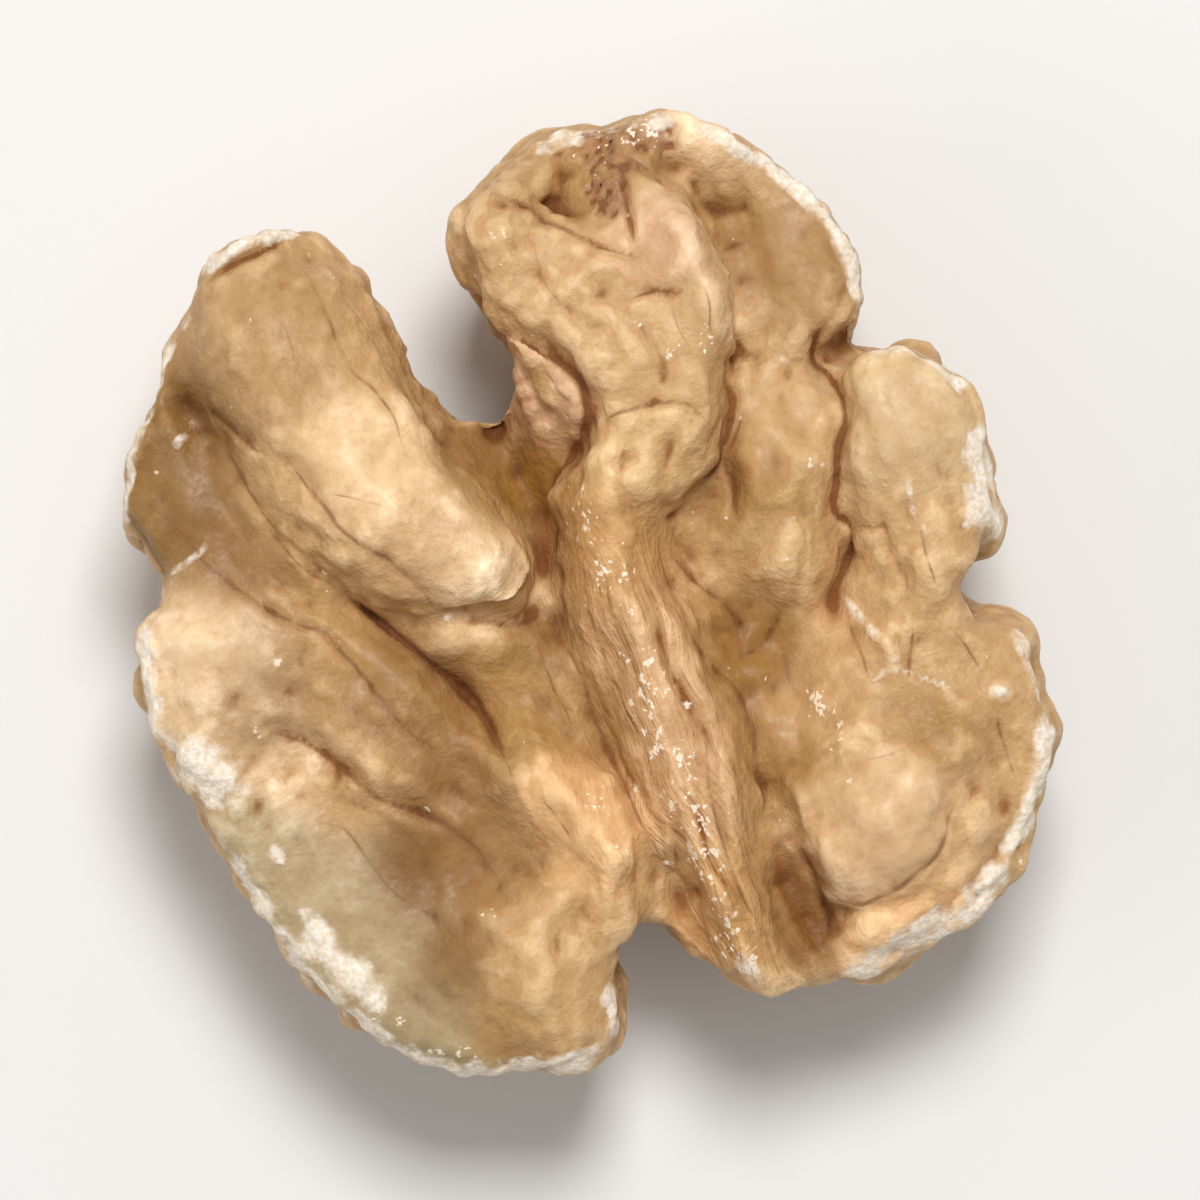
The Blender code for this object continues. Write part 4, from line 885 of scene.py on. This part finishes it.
def kernel_skin():
    material = bpy.data.materials.new("kernel_skin")
    material.use_nodes = True
    tree = material.node_tree
    shader = tree.nodes["Principled BSDF"]
    where = add_node(tree, "ShaderNodeTexCoord").outputs["Object"]
    in_mm = moved(tree, "MULTIPLY", where, (1 / MM,) * 3)
    swayed = moved(tree, "MULTIPLY_ADD", drift(tree, in_mm, 0.35), (1.6, 0.0, 0.0), in_mm)
    drawn_out = moved(tree, "MULTIPLY", swayed, (2.8, 0.28, 1.2))

    clouds = speckle(tree, in_mm, 0.35, 2.0)
    blotches = speckle(tree, in_mm, 1.1, 2.0)
    mottled = speckle(tree, in_mm, 2.2, 3.0, 0.65)
    grains = speckle(tree, in_mm, 5.0, 1.0)
    fibres = speckle(tree, drawn_out, 1.0, 3.0, 0.65, 0.4)
    calm = kept(tree, "calm")
    fibrous = kept(tree, "fibrous")
    fine_hollow = kept(tree, "fine_hollow")
    broad_hollow = kept(tree, "broad_hollow")

    # The papery skin: cloudy and mottled in its own tone, with painted shade in the hollows and
    # creases and a painted highlight on the crests.
    colour = kept(tree, "tint", "Color")
    colour = tinted(tree, stepped(tree, clouds, 0.45, 0.75, 0.0, 0.7), colour, 1.16, 1.22, 1.30)
    colour = tinted(tree, stepped(tree, mottled, 0.48, 0.68), colour, 1.12, 1.16, 1.24)
    colour = tinted(tree, stepped(tree, mottled, 0.5, 0.3, 0.0, 0.4), colour, 0.76, 0.65, 0.52)
    colour = tinted(tree, stepped(tree, blotches, 0.5, 0.75, 0.0, 0.4), colour, 0.72, 0.60, 0.49)
    # Painted shade in the broad hollows, then a painted highlight on the broad rises.
    shaded_hollow = stepped(tree, broad_hollow, 0.05, 1.1)
    colour = tinted(tree, shaded_hollow, colour, 0.52, 0.36, 0.22)
    colour = tinted(tree, stepped(tree, broad_hollow, -0.1, -0.9), colour, 1.12, 1.18, 1.26)
    # Painted shade in the fine creases, and a painted highlight on the fine crests.
    shaded_crease = stepped(tree, fine_hollow, 0.01, 0.10)
    colour = tinted(tree, shaded_crease, colour, 0.50, 0.34, 0.22)
    uncalm = stepped(tree, calm, 0.2, 0.8, 1.0, 0.35)
    crest_highlight = times(tree, stepped(tree, fine_hollow, -0.005, -0.05), uncalm)
    colour = tinted(tree, crest_highlight, colour, 1.22, 1.32, 1.48)

    # The keel's fibres, darker in their grooves and with a painted highlight on their crests, and
    # the crumbled patch.
    dark = times(tree, stepped(tree, fibres, 0.5, 0.75), times(tree, fibrous, 0.5))
    # A painted highlight on the fibres' crests.
    light = times(tree, stepped(tree, fibres, 0.48, 0.34, 0.0, 0.7), fibrous)
    colour = tinted(tree, dark, colour, 0.62, 0.46, 0.36)
    colour = tinted(tree, light, colour, 1.20, 1.28, 1.42)
    crumbs = stepped(tree, mottled, 0.35, 0.6, 0.2, 0.7)
    colour = blended(tree, times(tree, kept(tree, "crumbled"), crumbs), colour, CRUMB_COLOUR)

    # The veins, with a faint dark seam along the main ones, and a branching net outside.
    broken = stepped(tree, speckle(tree, in_mm, 1.3, 1.0), 0.36, 0.60, 0.25, 1.0)
    lines = larger(tree, vein_line(tree, "main", broken), vein_line(tree, "side", broken))
    net = calculated(tree, "SUBTRACT", speckle(tree, in_mm, 0.26, 2.0, 0.45, 0.6), 0.5)
    net = stepped(tree, calculated(tree, "ABSOLUTE", net), 0.004, 0.014, 1.0, 0.0)
    net = times(tree, net, stepped(tree, blotches, 0.46, 0.56))
    net = times(tree, net, stepped(tree, kept(tree, "outer"), 0.5, 0.9))
    lines = larger(tree, lines, net)
    wide = stepped(tree, kept(tree, "main_width"), 0.02, 0.12)
    seam = times(tree, times(tree, kept(tree, "main_near"), wide), 0.25)
    colour = tinted(tree, seam, colour, 0.66, 0.46, 0.32)
    colour = blended(tree, times(tree, lines, 0.65), colour, VEIN_COLOUR)

    # The pale flesh where the rim is worn, with a painted highlight at the notch among it, and
    # painted glints.
    flakes = speckle(tree, in_mm, 1.2, 3.0, 0.55)
    spread = times(tree, calculated(tree, "SUBTRACT", flakes, 0.5), 1.9)
    worn_and_gleam = kept(tree, "rubbed_and_gleam")
    flaked = times(tree, plus(tree, worn_and_gleam, spread), stepped(tree, worn_and_gleam, 0.08, 0.35))
    pale = stepped(tree, flaked, 0.2, 0.85)
    flesh = blended(tree, stepped(tree, grains, 0.3, 0.7), *FLESH_COLOURS)
    colour = blended(tree, times(tree, pale, 0.9), colour, flesh)
    glint_gathering = times(tree, kept(tree, "glint_gathering"), stepped(tree, mottled, 0.38, 0.6))
    painted_glints = larger(tree, round_glints(tree, in_mm, 2.2, glint_gathering), glints(tree, in_mm, glint_gathering))
    colour = blended(tree, times(tree, painted_glints, 0.85), colour, GLINT_COLOUR)
    tree.links.new(colour, shader.inputs["Base Color"])

    # A dull waxy gloss, duller in the hollows and where the flesh is bare.
    rough = stepped(tree, grains, 0.3, 0.7, 0.42, 0.58)
    rough = calculated(tree, "SUBTRACT", rough, times(tree, calm, 0.03))
    dull = larger(tree, times(tree, shaded_crease, 0.4), times(tree, pale, 0.25))
    dull = larger(tree, dull, times(tree, shaded_hollow, 0.3))
    rough = calculated(tree, "ADD", rough, dull, clamp=True)
    tree.links.new(rough, shader.inputs["Roughness"])

    height = plus(tree, times(tree, grains, GRAIN_BUMP), times(tree, mottled, MOTTLE_BUMP))
    height = times(tree, height, stepped(tree, calm, 0.2, 0.8, 1.0, 0.3))
    height = plus(tree, height, times(tree, blotches, BLOTCH_BUMP))
    strands = times(tree, times(tree, fibres, fibrous), FIBRE_BUMP)
    height = calculated(tree, "SUBTRACT", height, strands)
    height = plus(tree, height, times(tree, times(tree, flakes, worn_and_gleam), FLAKE_BUMP))
    bump = add_node(tree, "ShaderNodeBump", {"Height": height, "Distance": MM, "Strength": 1.0})
    tree.links.new(bump.outputs[0], shader.inputs["Normal"])

    shader.inputs["IOR"].default_value = 1.42
    shader.inputs["Specular IOR Level"].default_value = 0.35
    shader.inputs["Coat Weight"].default_value = 0.04
    shader.inputs["Coat Roughness"].default_value = 0.28
    return material


skin.transform(Matrix.Scale(MM, 4))
skin.materials.append(kernel_skin())
skin.shade_smooth()
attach(kernel, "root")
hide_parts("kernel")


# The floor: a plain pale board of matt card under the nut, far larger than the view.
# It is scenery, and no part of the object.
FLOOR_SIDE = 1.2
floor_mesh = bpy.data.meshes.new("floor")
half = FLOOR_SIDE / 2
floor_corners = [(-half, -half, 0), (half, -half, 0), (half, half, 0), (-half, half, 0)]
floor_mesh.from_pydata(floor_corners, [], [(0, 1, 2, 3)])
floor = bpy.data.objects.new("floor", floor_mesh)
bpy.context.scene.collection.objects.link(floor)
floor_card = bpy.data.materials.new("floor_card")
floor_card.use_nodes = True
card_shader = floor_card.node_tree.nodes["Principled BSDF"]
card_shader.inputs["Base Color"].default_value = (0.80, 0.79, 0.77, 1.0)
card_shader.inputs["Roughness"].default_value = 0.8
floor_mesh.materials.append(floor_card)


# Soft studio light: one broad panel nearly overhead, a weaker one low on the left, and an even
# pale surround that fills the shadows.
def light_panel(name, place, side, watts):
    light = bpy.data.lights.new(name, "AREA")
    light.size = side
    light.energy = watts
    panel = bpy.data.objects.new(name, light)
    bpy.context.scene.collection.objects.link(panel)
    panel.location = place
    panel.rotation_euler = (-Vector(place)).to_track_quat("-Z", "Y").to_euler()


light_panel("main_panel", (0.10, 0.16, 0.42), 0.14, 1.7)
light_panel("side_panel", (-0.35, 0.05, 0.25), 0.25, 0.3)
surround = bpy.data.worlds.new("surround")
surround.use_nodes = True
sky = surround.node_tree.nodes["Background"]
sky.inputs["Color"].default_value = (1.0, 0.99, 0.97, 1.0)
sky.inputs["Strength"].default_value = 0.34
bpy.context.scene.world = surround
bpy.context.scene.view_settings.view_transform = "Standard"


# The camera looks straight down, as in the photograph, and is turned so that the seam leans to
# the left. VIEW_SIDE is how much of the scene it takes in at the height of the inner side.
VIEW_SIDE = 0.04105
CAMERA_HEIGHT = 0.32
INNER_SIDE_HEIGHT = 0.009
SEAM_LEAN = math.radians(22.8)
SENSOR = 36.0
view = bpy.data.cameras.new("camera")
view.sensor_width = SENSOR
view.lens = SENSOR * (CAMERA_HEIGHT - INNER_SIDE_HEIGHT) / VIEW_SIDE
view.clip_start = 0.01
camera = bpy.data.objects.new("camera", view)
bpy.context.scene.collection.objects.link(camera)
camera.rotation_euler = (0.0, 0.0, -SEAM_LEAN)
# The nut's middle lies a little left of the view's middle and below it.
across, down = 0.000815, 0.00013
camera.location = (
    across * math.cos(SEAM_LEAN) + down * math.sin(SEAM_LEAN),
    -across * math.sin(SEAM_LEAN) + down * math.cos(SEAM_LEAN),
    CAMERA_HEIGHT,
)
bpy.context.scene.camera = camera
